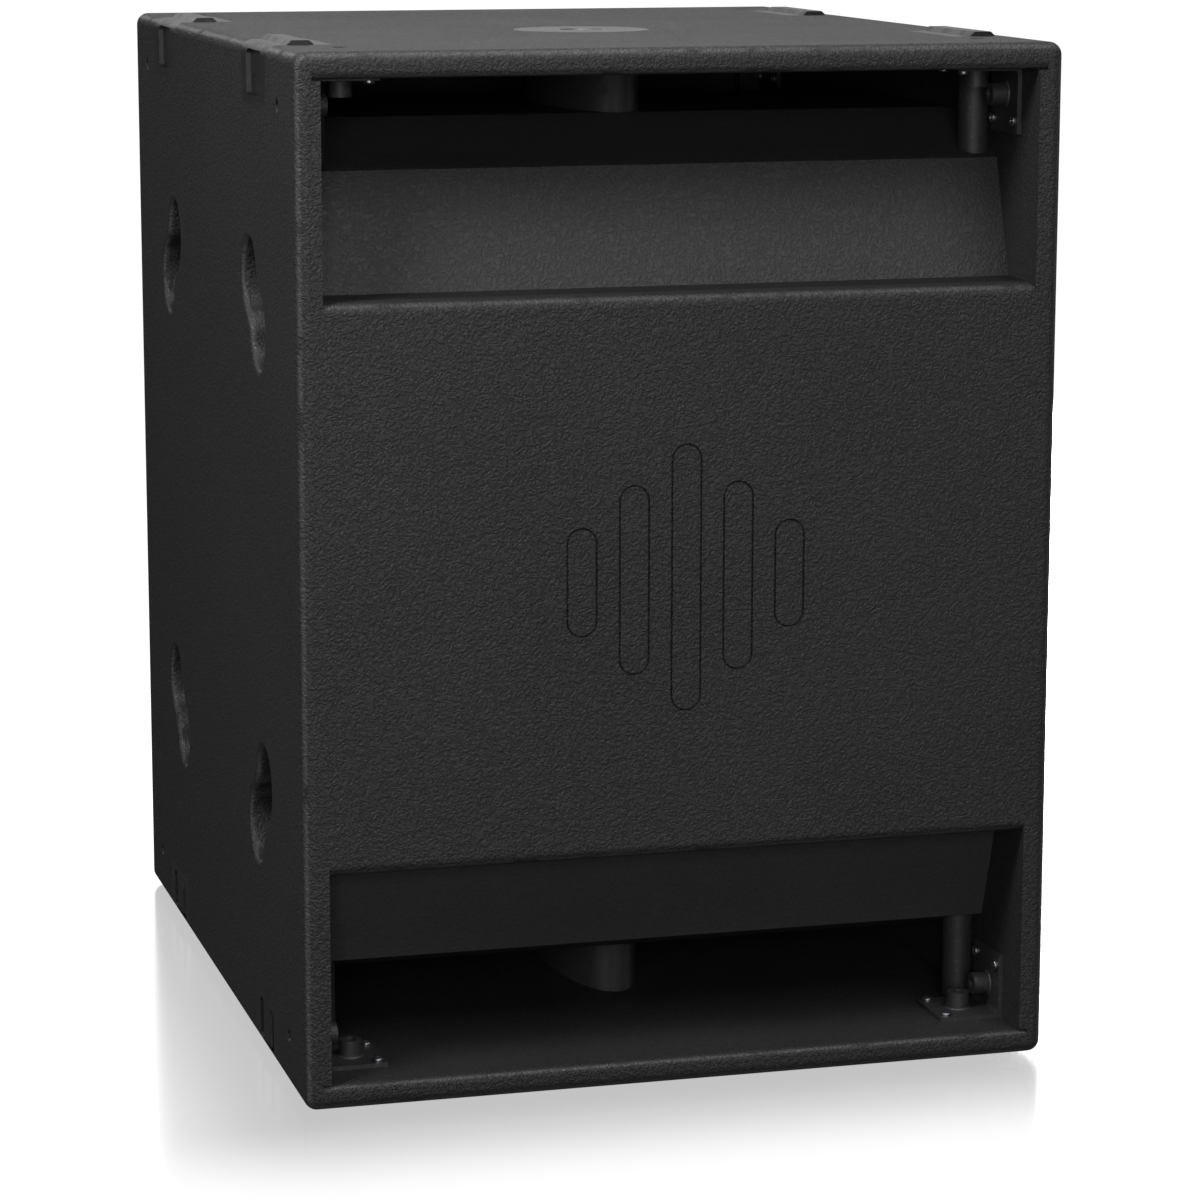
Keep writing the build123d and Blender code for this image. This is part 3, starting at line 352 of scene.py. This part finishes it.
PLAIN = (1.0, 1.0, 1.0)
BOSS_IN, BEAD_R, BEAD_HALF, LEG, RIPPLE = 0.024, 0.0083, 0.0012, 0.003, 0.00035
AROUND, SECTION = 48, 6
ripples = Finish("coated_weld")
lay = ripples.noise(420.0, 2.0)
ripples.finish(ripples.mix(lay, (0.030, 0.030, 0.032), (0.050, 0.050, 0.052)), 0.44 + lay * 0.2,
               ripples.bump(lay, 0.0003), Metallic=0.2)
bracket_low, bracket_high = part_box("rigging_brackets")
middle_z = (bracket_low.z + bracket_high.z) / 2
bead_places = []
for side, end, up in [(a, b, c) for a in (-1, 1) for b in (-1, 1) for c in (-1, 1)]:
    y = end * (bracket_high.y - BOSS_IN)
    reach_z = bracket_high.z - middle_z
    on_side = (side * (bracket_high.x - LEG), y, middle_z + up * (reach_z - 0.020))
    on_flat = (side * (bracket_high.x - 0.025), y, middle_z + up * (reach_z - LEG))
    bead_places += [(on_side, (0.0, math.pi / 2, 0.0), PLAIN), (on_flat, (0.0, 0.0, 0.0), PLAIN)]
bpy.ops.mesh.primitive_torus_add(
    major_segments=AROUND, minor_segments=SECTION, major_radius=BEAD_R, minor_radius=BEAD_HALF
)
bead = bpy.context.object
bpy.ops.object.mode_set(mode="EDIT")
pick(bead, lambda vertex: vertex.index // SECTION % 2 == 0)
bpy.ops.transform.shrink_fatten(value=RIPPLE)
bpy.ops.object.mode_set(mode="OBJECT")
set_out(bead, bead_places)
name_piece("boss_weld_beads", ripples)


# ---- Screws and bolts
# Blackened countersunk wood screws outside, zinc-plated screws and bolts inside. Driving them has rubbed bright
# spots on them.
def plated(name, dark, bright, metallic):
    """Plated fastener: fine turning lines, and rubbed spots."""
    plate = Finish(name)
    rub = plate.noise(700.0, 3.0).step(0.52, 0.70)
    fine = plate.noise(2600.0, 1.0)
    plate.finish(plate.mix(rub, dark, bright), 0.30 + fine * 0.18, plate.bump(fine, 0.00003), Metallic=metallic)
    return plate


plated("blackened_screws", (0.018, 0.018, 0.019), (0.10, 0.10, 0.10), 0.8).on(
    "corner_screws", "pole_socket_screws", "back_panel_screws", "amp_screws"
)
plated("zinc_plate", (0.22, 0.23, 0.25), (0.42, 0.42, 0.40), 1.0).on(
    "rigging_screws", "driver_bolts", "driver_tee_nuts"
)


# ---- Grips, lugs and skids
# Injection-moulded glass-filled nylon: finger cups behind the side panels, stacking lugs let into the top edges and
# skids into the bottom ones. Fine spark texture, scuffed where cabinets slide over each other.
def nylon(name, black, scuffs):
    """Moulded nylon: spark texture, flow clouds, and long scuffs along Y."""
    shell = Finish(name)
    spark = shell.noise(2100.0, 2.0)
    flow = shell.noise(22.0, 3.0)
    scuff = shell.noise(130.0, 3.0, 0.4, at=shell.stretched(1.0, 0.12, 1.0)).step(0.58, 0.66) * scuffs
    worn = shell.wear(90.0) * 0.35
    shell.finish(shell.mix(scuff.higher(worn), black, (0.085, 0.085, 0.086)),
                 0.36 + flow * 0.10 - worn * 0.12 + scuff * 0.2, shell.bump(spark, 0.00008))
    return shell


nylon("moulded_nylon", (0.007, 0.007, 0.0075), 0.12).on("stacking_lugs", "stacking_skids")
nylon("cup_nylon", (0.018, 0.018, 0.019), 0.1).on("left_handle_cups", "right_handle_cups")

# ---- Pole socket
# Turned steel flange with a sleeve tapped M20 for a pole stud, let flush into the top. Black zinc plating over fine
# turned rings, with the crests of the thread and the mouth of the hole worn bright.
socket_low, socket_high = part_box("pole_socket")
socket_middle = (socket_low + socket_high) / 2
turned = Finish("turned_black_zinc")
across, deep, from_axis = turned.away_from(socket_middle, "XY")
rings = (from_axis * 7000.0).wave()
patina = turned.noise(60.0, 4.0)
in_hole = 1.0 - from_axis.step(0.0088, 0.0091)
helix = (turned.axis("Z") / 0.0025 + across.angle_to(deep) / (2 * math.pi)).zigzag(0.5) * 2.0
crest = in_hole * helix.step(0.6, 1.0)
mouth = (from_axis - 0.0165).size()
mouth_worn = 1.0 - mouth.step(0.0002, 0.0012)
ring_tone = turned.mix(patina, (0.062, 0.062, 0.065), (0.105, 0.105, 0.108))
turned.finish(turned.mix(crest.higher(mouth_worn * 0.6), ring_tone, (0.42, 0.42, 0.43)), 0.36 + patina * 0.14,
              turned.bump(rings * 0.02 * (1.0 - in_hole) + helix * in_hole, 0.0009), Metallic=0.7)
turned.on("pole_socket")

# ---- Driver frame and magnet
# Cast aluminium basket in black wrinkle paint, passivated pole plates clamped on a sintered ferrite ring, and foam
# gaskets under the basket and the amplifier.
basket = Finish("cast_basket_paint")
wrinkle = basket.noise(520.0, 4.0, 1.0)
basket.finish(basket.mix(wrinkle, (0.02, 0.02, 0.02), (0.045, 0.045, 0.046)), 0.5 + wrinkle * 0.2,
              basket.bump(wrinkle, 0.0002))
basket.on("basket")

iron = Finish("passivated_iron")
turning = iron.noise(420.0, 2.0, at=iron.stretched(0.15, 1.0, 0.15))
stain = iron.noise(26.0, 5.0)
iron.finish(iron.mix(stain, (0.46, 0.42, 0.30), (0.58, 0.56, 0.50)), 0.28 + turning * 0.2,
            iron.bump(turning, 0.00004), Metallic=1.0)
iron.on("front_pole_plate", "rear_pole_plate")

ferrite = Finish("sintered_ferrite")
pits = ferrite.noise(1300.0, 3.0)
ferrite.finish(ferrite.mix(pits.step(0.4, 0.7), (0.035, 0.035, 0.037), (0.075, 0.075, 0.08)), 0.55 + pits * 0.2,
               ferrite.bump(pits, 0.0001))
ferrite.on("ring_magnet")

foam = Finish("closed_cell_foam")
bubbles = foam.cells(1400.0)
foam.finish(foam.mix(bubbles, (0.02, 0.02, 0.02), (0.05, 0.05, 0.05)), 0.85 + bubbles * 0.1,
            foam.bump(bubbles, 0.0002))
foam.on("driver_gasket", "amp_gasket")

# ---- Voice coil
# Copper wire wound in tight turns on the back end of a glass-fibre former, and held by baked varnish. The front end of
# the former is glued to the cone.
coil_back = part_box("voice_coil")[1].y
WIRE_PITCH, WOUND = 0.0009, 0.0285
coil = Finish("wound_coil")
turns = (coil.axis("Y") / WIRE_PITCH).zigzag(0.5) * 2.0
on_winding = coil.axis("Y").step(coil_back - WOUND - 0.0002, coil_back - WOUND + 0.0002)
varnish = coil.noise(90.0, 3.0)
former_tone = coil.mix(varnish, (0.45, 0.36, 0.20), (0.55, 0.46, 0.28))
# Each turn is darker where it meets the next and lighter on its crown: painted shade and a painted highlight on the
# wire.
wire_painted_shading = coil.mix(turns, (0.30, 0.12, 0.05), (0.72, 0.36, 0.18))
coil.finish(coil.mix(on_winding, former_tone, wire_painted_shading), 0.30 + varnish * 0.15,
            coil.bump(turns * on_winding, 0.0003), Metallic=on_winding * 0.9)
coil.on("voice_coil")


# ---- Cone
# Pressed paper-and-fibre cone, 1.2 mm thick, with four stiffening ribs pressed in and a flat rim for the surround. Its
# neck is glued to the former.
def spin_outline(points, middle, steps=128):
    """Turns a closed outline of (radius, y) points about the axis along Y through middle."""
    bpy.ops.mesh.primitive_plane_add(size=0.001, location=(points[0][0], points[0][1], middle.z))
    bpy.ops.object.transform_apply(location=True)
    bpy.ops.object.mode_set(mode="EDIT")
    bpy.ops.mesh.select_all(action="SELECT")
    bpy.ops.mesh.merge(type="CENTER")
    for start, end in zip(points, points[1:] + points[:1]):
        step = (end[0] - start[0], end[1] - start[1], 0.0)
        bpy.ops.mesh.extrude_region_move(TRANSFORM_OT_translate={"value": step})
    bpy.ops.mesh.select_all(action="SELECT")
    bpy.ops.mesh.spin(steps=steps, angle=2 * math.pi, center=(0.0, 0.0, middle.z), axis=(0.0, 1.0, 0.0))
    bpy.ops.mesh.select_all(action="SELECT")
    bpy.ops.mesh.remove_doubles(threshold=0.00001)
    bpy.ops.mesh.normals_make_consistent(inside=False)
    bpy.ops.object.mode_set(mode="OBJECT")


def walled(front, wall):
    """A closed outline: the front line, and the same line moved back by the wall."""
    return front + [(radius, y + wall) for radius, y in reversed(front)]


cone_low, cone_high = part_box("cone")
driver_axis = (cone_low + cone_high) / 2
CONE_RIM = cone_high.x
NECK, RIM_LAND, CONE_WALL, RIBS, RIB_HALF, CONE_STEPS = 0.05125, 0.008, 0.0012, 4, 0.0005, 64
RIBS_FROM, RIBS_TO = 0.1, 0.95
cone_line = []
for k in range(CONE_STEPS + 1):
    share = k / CONE_STEPS
    rib = RIB_HALF * (1 - math.cos(2 * math.pi * RIBS * share)) if RIBS_FROM < share < RIBS_TO else 0.0
    y = cone_high.y - CONE_WALL + (cone_low.y - cone_high.y + CONE_WALL) * share
    cone_line.append((NECK + (CONE_RIM - RIM_LAND - NECK) * share, y + rib * (1 - share)))
cone_line.append((CONE_RIM, cone_low.y))
paper = Finish("pressed_pulp")
fibres = paper.noise(650.0, 5.0, 1.5)
mottle = paper.noise(40.0, 3.0)
paper.finish(paper.mix(fibres, (0.020, 0.020, 0.020), (0.060, 0.059, 0.057)), 0.72 + mottle * 0.15,
             paper.bump(fibres, 0.0002))
spin_outline(walled(cone_line, CONE_WALL), driver_axis)
cone = name_piece("ribbed_cone", paper, body="driver_moving_parts")
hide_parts("cone")

# ---- Dust cap
# A domed cap of the same pulp, 1.4 mm thick, stuck over the neck to keep grit out of the gap. A rounded bead of black
# glue runs round its foot.
cap_low, cap_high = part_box("dust_cap")
CAP_BASE, CAP_WALL, CAP_STEPS, GLUE_HALF = cap_high.x, 0.0014, 20, 0.0014
rise = cap_high.y - cap_low.y
cap_sphere = (CAP_BASE**2 + rise**2) / (2 * rise)
cap_front = []
for k in range(CAP_STEPS + 1):
    angle = math.asin(CAP_BASE / cap_sphere) * k / CAP_STEPS
    cap_front.append((cap_sphere * math.sin(angle), cap_low.y + cap_sphere * (1 - math.cos(angle))))
cap_back = [(radius * 0.985, min(y + CAP_WALL, cap_high.y)) for radius, y in reversed(cap_front[:-1])]
spin_outline(cap_front + cap_back, driver_axis, 96)
cap = name_piece("domed_dust_cap", paper, body="driver_moving_parts")
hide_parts("dust_cap")

glue = Finish("cap_glue")
smear = glue.noise(200.0, 3.0)
glue.finish(glue.mix(smear, (0.012, 0.012, 0.012), (0.03, 0.03, 0.03)), 0.22 + smear * 0.2, glue.bump(smear, 0.0003))
bpy.ops.mesh.primitive_torus_add(
    major_segments=128, minor_segments=8, major_radius=CAP_BASE + 0.0002, minor_radius=GLUE_HALF,
    location=(0.0, cap_high.y - 0.0006, driver_axis.z), rotation=(math.pi / 2, 0.0, 0.0),
)
name_piece("cap_glue_bead", glue, body="driver_moving_parts")


# ---- Surround
# Varnished cloth pressed into two rolls. Its inner land is glued on the cone's rim and its outer land is held under
# the basket's flange, so it follows the cone at one edge and stays with the cabinet at the other.
def blend_round(piece, inner, outer):
    """The piece bends between the cone and the cabinet by its distance from the driver's axis."""
    start, end = (0.0, 0.0, driver_axis.z + outer), (0.0, 0.0, driver_axis.z + inner)
    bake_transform(piece, "cabinet", "driver_moving_parts", start=start, end=end)
    weights = piece.data.attributes["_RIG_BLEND"].data
    for vertex, weight in zip(piece.data.vertices, weights):
        radius = math.hypot(vertex.co.x, vertex.co.z - driver_axis.z)
        share = min(max((outer - radius) / (outer - inner), 0.0), 1.0)
        weight.value = share * share * (3 - 2 * share)


roll_low, roll_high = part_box("surround")
ROLL_IN, ROLL_OUT, CLOTH, LAND, GLUE_LINE = CONE_RIM + 0.0006, 0.2055, 0.0009, 0.007, 0.0001
ROLLS, ROLL_STEPS = 2, 40
roll_line = [(CONE_RIM - LAND, cone_low.y - CLOTH - GLUE_LINE)]
for k in range(ROLL_STEPS + 1):
    share = k / ROLL_STEPS
    hump = math.sin(ROLLS * math.pi * share) ** 2
    foot = cone_low.y - CLOTH - GLUE_LINE + (roll_high.y - CLOTH - cone_low.y + CLOTH + GLUE_LINE) * share
    roll_line.append((ROLL_IN + (ROLL_OUT - ROLL_IN) * share, foot - hump * (foot - roll_low.y) * 0.95))
roll_line.append((roll_high.x, roll_high.y - CLOTH))
cloth = Finish("varnished_cloth")
spread, climb, cloth_radius = cloth.away_from(driver_axis, "XZ")
threads = (cloth_radius * 4200.0).wave() * (spread.angle_to(climb) * 900.0).wave()
cloth_patch = cloth.noise(30.0, 3.0)
cloth.finish(cloth.mix(threads * 0.5 + 0.5, (0.014, 0.014, 0.014), (0.035, 0.034, 0.033)), 0.40 + cloth_patch * 0.2,
             cloth.bump(threads, 0.0001), Coat_Weight=0.25)
spin_outline(walled(roll_line, CLOTH), driver_axis)
surround = name_piece("two_roll_surround", cloth, body=None)
blend_round(surround, ROLL_IN, ROLL_OUT)
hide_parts("surround")

# ---- Spider
# A corrugated disc of resin-dipped cotton that centres the coil, glued to the former and to the basket's landing.
spider_low, spider_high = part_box("spider")
WAVES, WAVE_STEPS, DISC, SPIDER_IN, WAVES_OUT = 6, 72, 0.0007, 0.0517, 0.0955
spider_line = [(SPIDER_IN, spider_high.y - DISC - 0.0012)]
for k in range(WAVE_STEPS + 1):
    share = k / WAVE_STEPS
    swell = (spider_high.y - spider_low.y - DISC) * 0.5 * (1 - math.cos(2 * math.pi * WAVES * share))
    spider_line.append((SPIDER_IN + 0.003 + (WAVES_OUT - SPIDER_IN) * share, spider_low.y + swell))
spider_line.append((spider_high.x, spider_low.y + 0.00005))
cotton = Finish("resin_cotton")
spider_x, spider_z, _ = cotton.away_from(driver_axis, "XZ")
warp = (spider_x * 5200.0).wave() * (spider_z * 5200.0).wave()
resin = cotton.noise(60.0, 4.0)
cotton.finish(cotton.mix(warp * 0.3 + resin * 0.6, (0.30, 0.22, 0.10), (0.52, 0.42, 0.24)), 0.6 + resin * 0.2,
              cotton.bump(warp, 0.0001))
spin_outline(walled(spider_line, DISC), driver_axis)
spider = name_piece("corrugated_spider", cotton, body=None)
blend_round(spider, SPIDER_IN + 0.002, 0.096)
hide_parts("spider")

# ---- Amplifier module, sheet-metal parts
# A folded steel tray, textured black, recesses the controls behind the back panel; a galvanised housing closes it
# inside the cabinet, and a black anodised extrusion carries the heat out.
tray = Finish("fine_powder_coat")
sand = tray.noise(1100.0, 3.0)
tray_worn = tray.wear(140.0) * 0.5
tray.finish(tray.mix(tray_worn, (0.026, 0.026, 0.028), (0.14, 0.14, 0.14)), 0.46 + sand * 0.15,
            tray.bump(sand, 0.00015))
tray.on("amp_tray")

zinc = Finish("galvanised_sheet")
tilt = zinc.axis("X", zinc.cells(75.0, out="Color"))
zinc.finish(zinc.mix(tilt, (0.42, 0.43, 0.45), (0.60, 0.61, 0.62)), 0.26 + tilt * 0.25,
            zinc.bump(zinc.noise(800.0, 2.0), 0.00003), Metallic=1.0)
zinc.on("amp_housing")

anodised = Finish("black_anodised")
drawn = anodised.noise(900.0, 2.0, at=anodised.stretched(1.0, 1.0, 0.03))
anodised.finish(anodised.mix(drawn, (0.018, 0.018, 0.02), (0.034, 0.034, 0.037)), 0.32 + drawn * 0.16,
                anodised.bump(drawn, 0.00005), Metallic=0.6)
anodised.on("heat_sink")

# ---- Amplifier electronics
# A glass-fibre board with soldered parts, a taped toroidal transformer on the housing's floor, and four reservoir
# capacitors in shrunk sleeves.
board = Finish("solder_mask")
tracks = board.cells(260.0, at=board.stretched(1.0, 0.0, 1.0)).step(0.10, 0.16)
board.finish(board.mix(tracks, (0.05, 0.24, 0.11), (0.02, 0.13, 0.06)), 0.28 + tracks * 0.12,
             board.bump(tracks, 0.00006), Coat_Weight=0.3)
board.on("circuit_board")

torus_low, torus_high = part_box("transformer")
winding = Finish("taped_winding")
left_right, up_down, torus_radius = winding.away_from((torus_low + torus_high) / 2, "XZ")
wraps = (left_right.angle_to(up_down) * 14.0 + torus_radius * 60.0).zigzag(0.5) * 2.0
dust = winding.noise(150.0, 3.0)
winding.finish(winding.mix(wraps * 0.6 + dust * 0.4, (0.44, 0.30, 0.06), (0.62, 0.47, 0.13)), 0.30 + dust * 0.15,
               winding.bump(wraps, 0.0005))
winding.on("transformer")

sleeve = Finish("capacitor_sleeve")
crinkle = sleeve.noise(180.0, 3.0)
sleeve.finish(sleeve.mix(crinkle, (0.03, 0.035, 0.07), (0.05, 0.055, 0.10)), 0.3 + crinkle * 0.15,
              sleeve.bump(crinkle, 0.0001))
sleeve.on("capacitors")


# ---- Amplifier controls
# Moulded sockets, switch, knobs, buttons and the driver's lead. Knobs are dull soft-touch plastic, buttons grey, the
# rest satin black with fingers' polish on the raised parts.
def moulded(name, tone, roughness):
    """Satin moulded plastic with a fine grit and polished edges."""
    plastic = Finish(name)
    grit = plastic.noise(1900.0, 2.0)
    touch = plastic.noise(45.0, 4.0)
    worn = plastic.wear(200.0) * 0.4
    plastic.finish(plastic.mix(touch * 0.4 + worn, tone, [c * 1.8 + 0.01 for c in tone]),
                   roughness + touch * 0.12 - worn * 0.2, plastic.bump(grit, 0.00005))
    return plastic


moulded("socket_plastic", (0.018, 0.018, 0.019), 0.34).on(
    "signal_sockets", "mains_inlet", "switch_frame", "power_rocker", "driver_terminals"
)
moulded("knob_plastic", (0.034, 0.034, 0.036), 0.56).on("level_knob", "menu_knob")
moulded("button_plastic", (0.24, 0.25, 0.27), 0.42).on("preset_button", "ground_button")
moulded("lead_sheath", (0.015, 0.015, 0.015), 0.5).on("driver_lead")

# ---- Status window
# A smoked acrylic pane snapped into the tray over a row of nine small lamps. Six of them glow green through it, to show
# the level, and the rest stay dark.
pane_low, pane_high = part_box("status_window")
LAMPS, LAMP_PITCH = 9, 0.0062
pane = Finish("smoked_window")
along, height, _ = pane.away_from((pane_low + pane_high) / 2, "XZ")
first_lamp = -LAMP_PITCH * (LAMPS - 1) / 2
in_row = 1.0 - height.size().step(0.0015, 0.0019)
on_lamp = 1.0 - ((along - first_lamp) / LAMP_PITCH).zigzag(0.5).step(0.24, 0.30)
in_reach = along.step(first_lamp - 0.003, first_lamp - 0.0029)
lit = (1.0 - along.step(first_lamp + LAMP_PITCH * 5.5, first_lamp + LAMP_PITCH * 5.51)) * in_row * on_lamp * in_reach
haze = pane.noise(300.0, 3.0)
pane.finish(pane.mix(lit, (0.006, 0.007, 0.009), (0.02, 0.16, 0.05)), 0.05 + haze * 0.06, pane.bump(haze, 0.00001),
            Emission_Color=pane.mix(lit, (0.0, 0.0, 0.0), (0.05, 0.9, 0.22)), Emission_Strength=1.4, Coat_Weight=0.5)
pane.on("status_window")

# ---- Contacts of the sockets
# Three gilt tubes in each signal socket and three nickel blades in the mains inlet, stamped and turned, and pushed in
# from the back.
PIN_RING, PIN_R, PIN_LONG, PIN_STEP = 0.0042, 0.0018, 0.0135, 0.0006
BLADE = (0.0022, 0.0130, 0.0042)
gilt = plated("gilt_contacts", (0.70, 0.50, 0.20), (0.85, 0.66, 0.32), 1.0)
nickel = plated("nickel_blades", (0.50, 0.49, 0.46), (0.68, 0.67, 0.64), 1.0)
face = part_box("status_window")[0].y
sockets_low, sockets_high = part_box("signal_sockets")
pin_places = []
for middle_x in (sockets_low.x + 0.013, sockets_high.x - 0.013):
    for turn in (90.0, 210.0, 330.0):
        x = middle_x + PIN_RING * math.cos(math.radians(turn))
        z = (sockets_low.z + sockets_high.z) / 2 + PIN_RING * math.sin(math.radians(turn))
        pin_places.append(((x, face - 0.0028 - PIN_LONG / 2, z), (-math.pi / 2, 0.0, 0.0), PLAIN))
bpy.ops.mesh.primitive_cylinder_add(vertices=24, radius=PIN_R, depth=PIN_LONG)
pin = bpy.context.object
bpy.ops.object.mode_set(mode="EDIT")
pick(pin, lambda vertex: vertex.co.z > 0)
bpy.ops.mesh.inset(thickness=PIN_STEP)
bpy.ops.mesh.extrude_region_move(TRANSFORM_OT_translate={"value": (0.0, 0.0, -0.005)})
bpy.ops.object.mode_set(mode="OBJECT")
set_out(pin, pin_places)
name_piece("signal_contacts", gilt)

inlet_low, inlet_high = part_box("mains_inlet")
inlet_middle = (inlet_low + inlet_high) / 2
blade_places = []
for step_x, step_z in ((-0.007, -0.002), (0.0, 0.003), (0.007, -0.002)):
    place = (inlet_middle.x + step_x, face - 0.0038 - BLADE[1] / 2, inlet_middle.z + step_z)
    blade_places.append((place, (0.0, 0.0, 0.0), PLAIN))
bpy.ops.mesh.primitive_cube_add(size=1.0, scale=BLADE)
blade = bpy.context.object
bpy.ops.object.transform_apply(scale=True)
bpy.ops.object.mode_set(mode="EDIT")
bpy.ops.mesh.select_all(action="SELECT")
bpy.ops.mesh.bevel(offset=0.0004, segments=2)
bpy.ops.object.mode_set(mode="OBJECT")
set_out(blade, blade_places)
name_piece("inlet_blades", nickel)

# ---- Printed scale
# White epoxy ink screened on the tray: eleven ticks round the level knob's 300 degree sweep, longer at both ends and in
# the middle.
ink = Finish("white_ink")
grains = ink.noise(2400.0, 2.0)
ink.finish(ink.mix(grains, (0.62, 0.62, 0.60), (0.74, 0.74, 0.72)), 0.45 + grains * 0.1, ink.bump(grains, 0.00002))
knob_low, knob_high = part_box("level_knob")
knob_middle = (knob_low + knob_high) / 2
TICKS, SCALE_R, SWEEP, TICK, LONGER = 11, 0.0145, 300.0, (0.0005, 0.00012, 0.0018), 1.7
tick_places = []
for k in range(TICKS):
    angle = math.radians(SWEEP * (k / (TICKS - 1) - 0.5))
    longer = LONGER if k in (0, TICKS // 2, TICKS - 1) else 1.0
    reach = SCALE_R + TICK[2] * longer / 2
    place = (knob_middle.x - reach * math.sin(angle), face + TICK[1] / 2, knob_middle.z + reach * math.cos(angle))
    tick_places.append((place, (0.0, -angle, 0.0), (1.0, 1.0, longer)))
bpy.ops.mesh.primitive_cube_add(size=1.0, scale=TICK)
tick = bpy.context.object
bpy.ops.object.transform_apply(scale=True)
bpy.ops.object.mode_set(mode="EDIT")
bpy.ops.mesh.select_all(action="SELECT")
bpy.ops.mesh.bevel(offset=0.00003, segments=1)
bpy.ops.object.mode_set(mode="OBJECT")
set_out(tick, tick_places)
name_piece("level_scale", ink)

# ---- Pointers of the knobs
# A white line is filled into the groove on each knob's crown and wiped level. It turns with the knob, and the small
# knob's line is as much shorter as the knob is narrower.
POINTER, POINTER_OUT = (0.00115, 0.0005, 0.0066), 0.66
bpy.ops.mesh.primitive_cube_add(size=1.0, scale=POINTER)
pointer = bpy.context.object
bpy.ops.object.transform_apply(scale=True)
bpy.ops.object.mode_set(mode="EDIT")
bpy.ops.mesh.select_all(action="SELECT")
bpy.ops.mesh.bevel(offset=0.00012, segments=2)
bpy.ops.object.mode_set(mode="OBJECT")
small_pointer = pointer.copy()
small_pointer.data = pointer.data.copy()
bpy.context.scene.collection.objects.link(small_pointer)
for line, knob_name, radius in ((pointer, "level_knob", 0.011), (small_pointer, "menu_knob", 0.009)):
    low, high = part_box(knob_name)
    middle = (low + high) / 2
    place = (middle.x, high.y - 0.00035, middle.z + radius * POINTER_OUT)
    set_out(line, [(place, (0.0, 0.0, 0.0), (1.0, 1.0, radius / 0.011))])
    name_piece(knob_name + "_pointer", ink, body=knob_name)


# ---- Studio
# A polished white table under the cabinet and a bright cloth wall behind it. The table's white is an even glow; close
# to the cabinet the glow is dimmed and a mirror finish comes in, so the real reflection of the cabinet shows, and the
# dimmed glow also paints a faint shade round its foot. Square soft lamps hang above, beside, before and behind, and
# the air itself glows weakly. The table and the wall are stage only.
AIR_GLOW, NEAR_GLOW, NEAR_SHINE, NEAR_REACH = 0.07, (0.54, 0.54, 0.54), (0.40, 0.40, 0.40), 0.18
FLOOR_R, FLOOR_DROP, WALL_MIDDLE, WALL_SIZE, WALL_GLOW = 90.0, 0.0004, (2.6, 12.0, 3.9), (12.0, 3.6, 1.0), 1.1


def softbox(name, place, aim, size, power):
    """A square area light at place, turned towards aim."""
    data = bpy.data.lights.new(name, "AREA")
    data.shape = "SQUARE"
    data.size = size
    data.energy = power
    lamp = bpy.data.objects.new(name, data)
    lamp.location = place
    lamp.rotation_euler = (Vector(aim) - Vector(place)).to_track_quat("-Z", "Y").to_euler()
    bpy.context.scene.collection.objects.link(lamp)


softbox("key_softbox", (1.1, -2.4, 3.2), (0.0, 0.0, 0.6), 1.6, 63.0)
softbox("top_softbox", (0.2, 0.9, 3.0), (0.0, 0.1, 0.7), 1.8, 36.0)
softbox("left_softbox", (-1.2, -0.9, 1.7), (-0.27, -0.3, 0.65), 0.5, 28.0)
softbox("front_softbox", (-0.8, -3.5, 0.95), (0.0, 0.0, 0.3), 1.2, 40.0)
softbox("back_softbox", (1.5, 3.1, 0.34), (0.0, 0.3, 0.3), 0.6, 45.0)

half_x, half_y = cad_box[1].x, cad_box[1].y
bpy.ops.mesh.primitive_circle_add(vertices=96, radius=FLOOR_R, fill_type="NGON", location=(0.0, 0.0, -FLOOR_DROP))
floor = bpy.context.object
floor.name = "floor"
polished = Finish("polished_table")
out_x = (polished.axis("X").size() - half_x).higher(0.0)
out_y = (polished.axis("Y").size() - half_y).higher(0.0)
# Close to the cabinet the glow is dimmed under a mirror finish: a real reflection there, and a painted shade round the
# foot.
near_mirror_and_shade = 1.0 - ((out_x * out_x + out_y * out_y) ** 0.5).step(0.0, NEAR_REACH)
polished.finish(polished.mix(near_mirror_and_shade, (0.0, 0.0, 0.0), NEAR_SHINE), 0.14 + near_mirror_and_shade * 0.02, Metallic=1.0,
                Emission_Color=polished.mix(near_mirror_and_shade, (1.0, 1.0, 1.0), NEAR_GLOW), Emission_Strength=1.0)
floor.data.materials.append(polished.material)
floor.visible_diffuse = False
floor.visible_glossy = False

bpy.ops.mesh.primitive_plane_add(size=1.0, location=WALL_MIDDLE, rotation=(math.pi / 2, 0.0, 0.0))
wall = bpy.context.object
wall.scale = WALL_SIZE
bpy.ops.object.transform_apply(location=True, rotation=True, scale=True)
wall.name = "wall"
cloth_wall = Finish("white_cloth_wall")
cloth_wall.finish((0.8, 0.8, 0.8), 0.9, Emission_Color=(1.0, 1.0, 1.0, 1.0), Emission_Strength=WALL_GLOW)
wall.data.materials.append(cloth_wall.material)

air = Finish("studio_air", of=bpy.data.worlds, shader="Background")
seen = air.add("ShaderNodeLightPath", out="Is Camera Ray")
air.feed(air.shader.inputs["Strength"], seen * (1.0 - AIR_GLOW) + AIR_GLOW)
air.feed(air.shader.inputs["Color"], (1.0, 1.0, 1.0, 1.0))
bpy.context.scene.world = air.material
bpy.context.scene.view_settings.view_transform = "Standard"
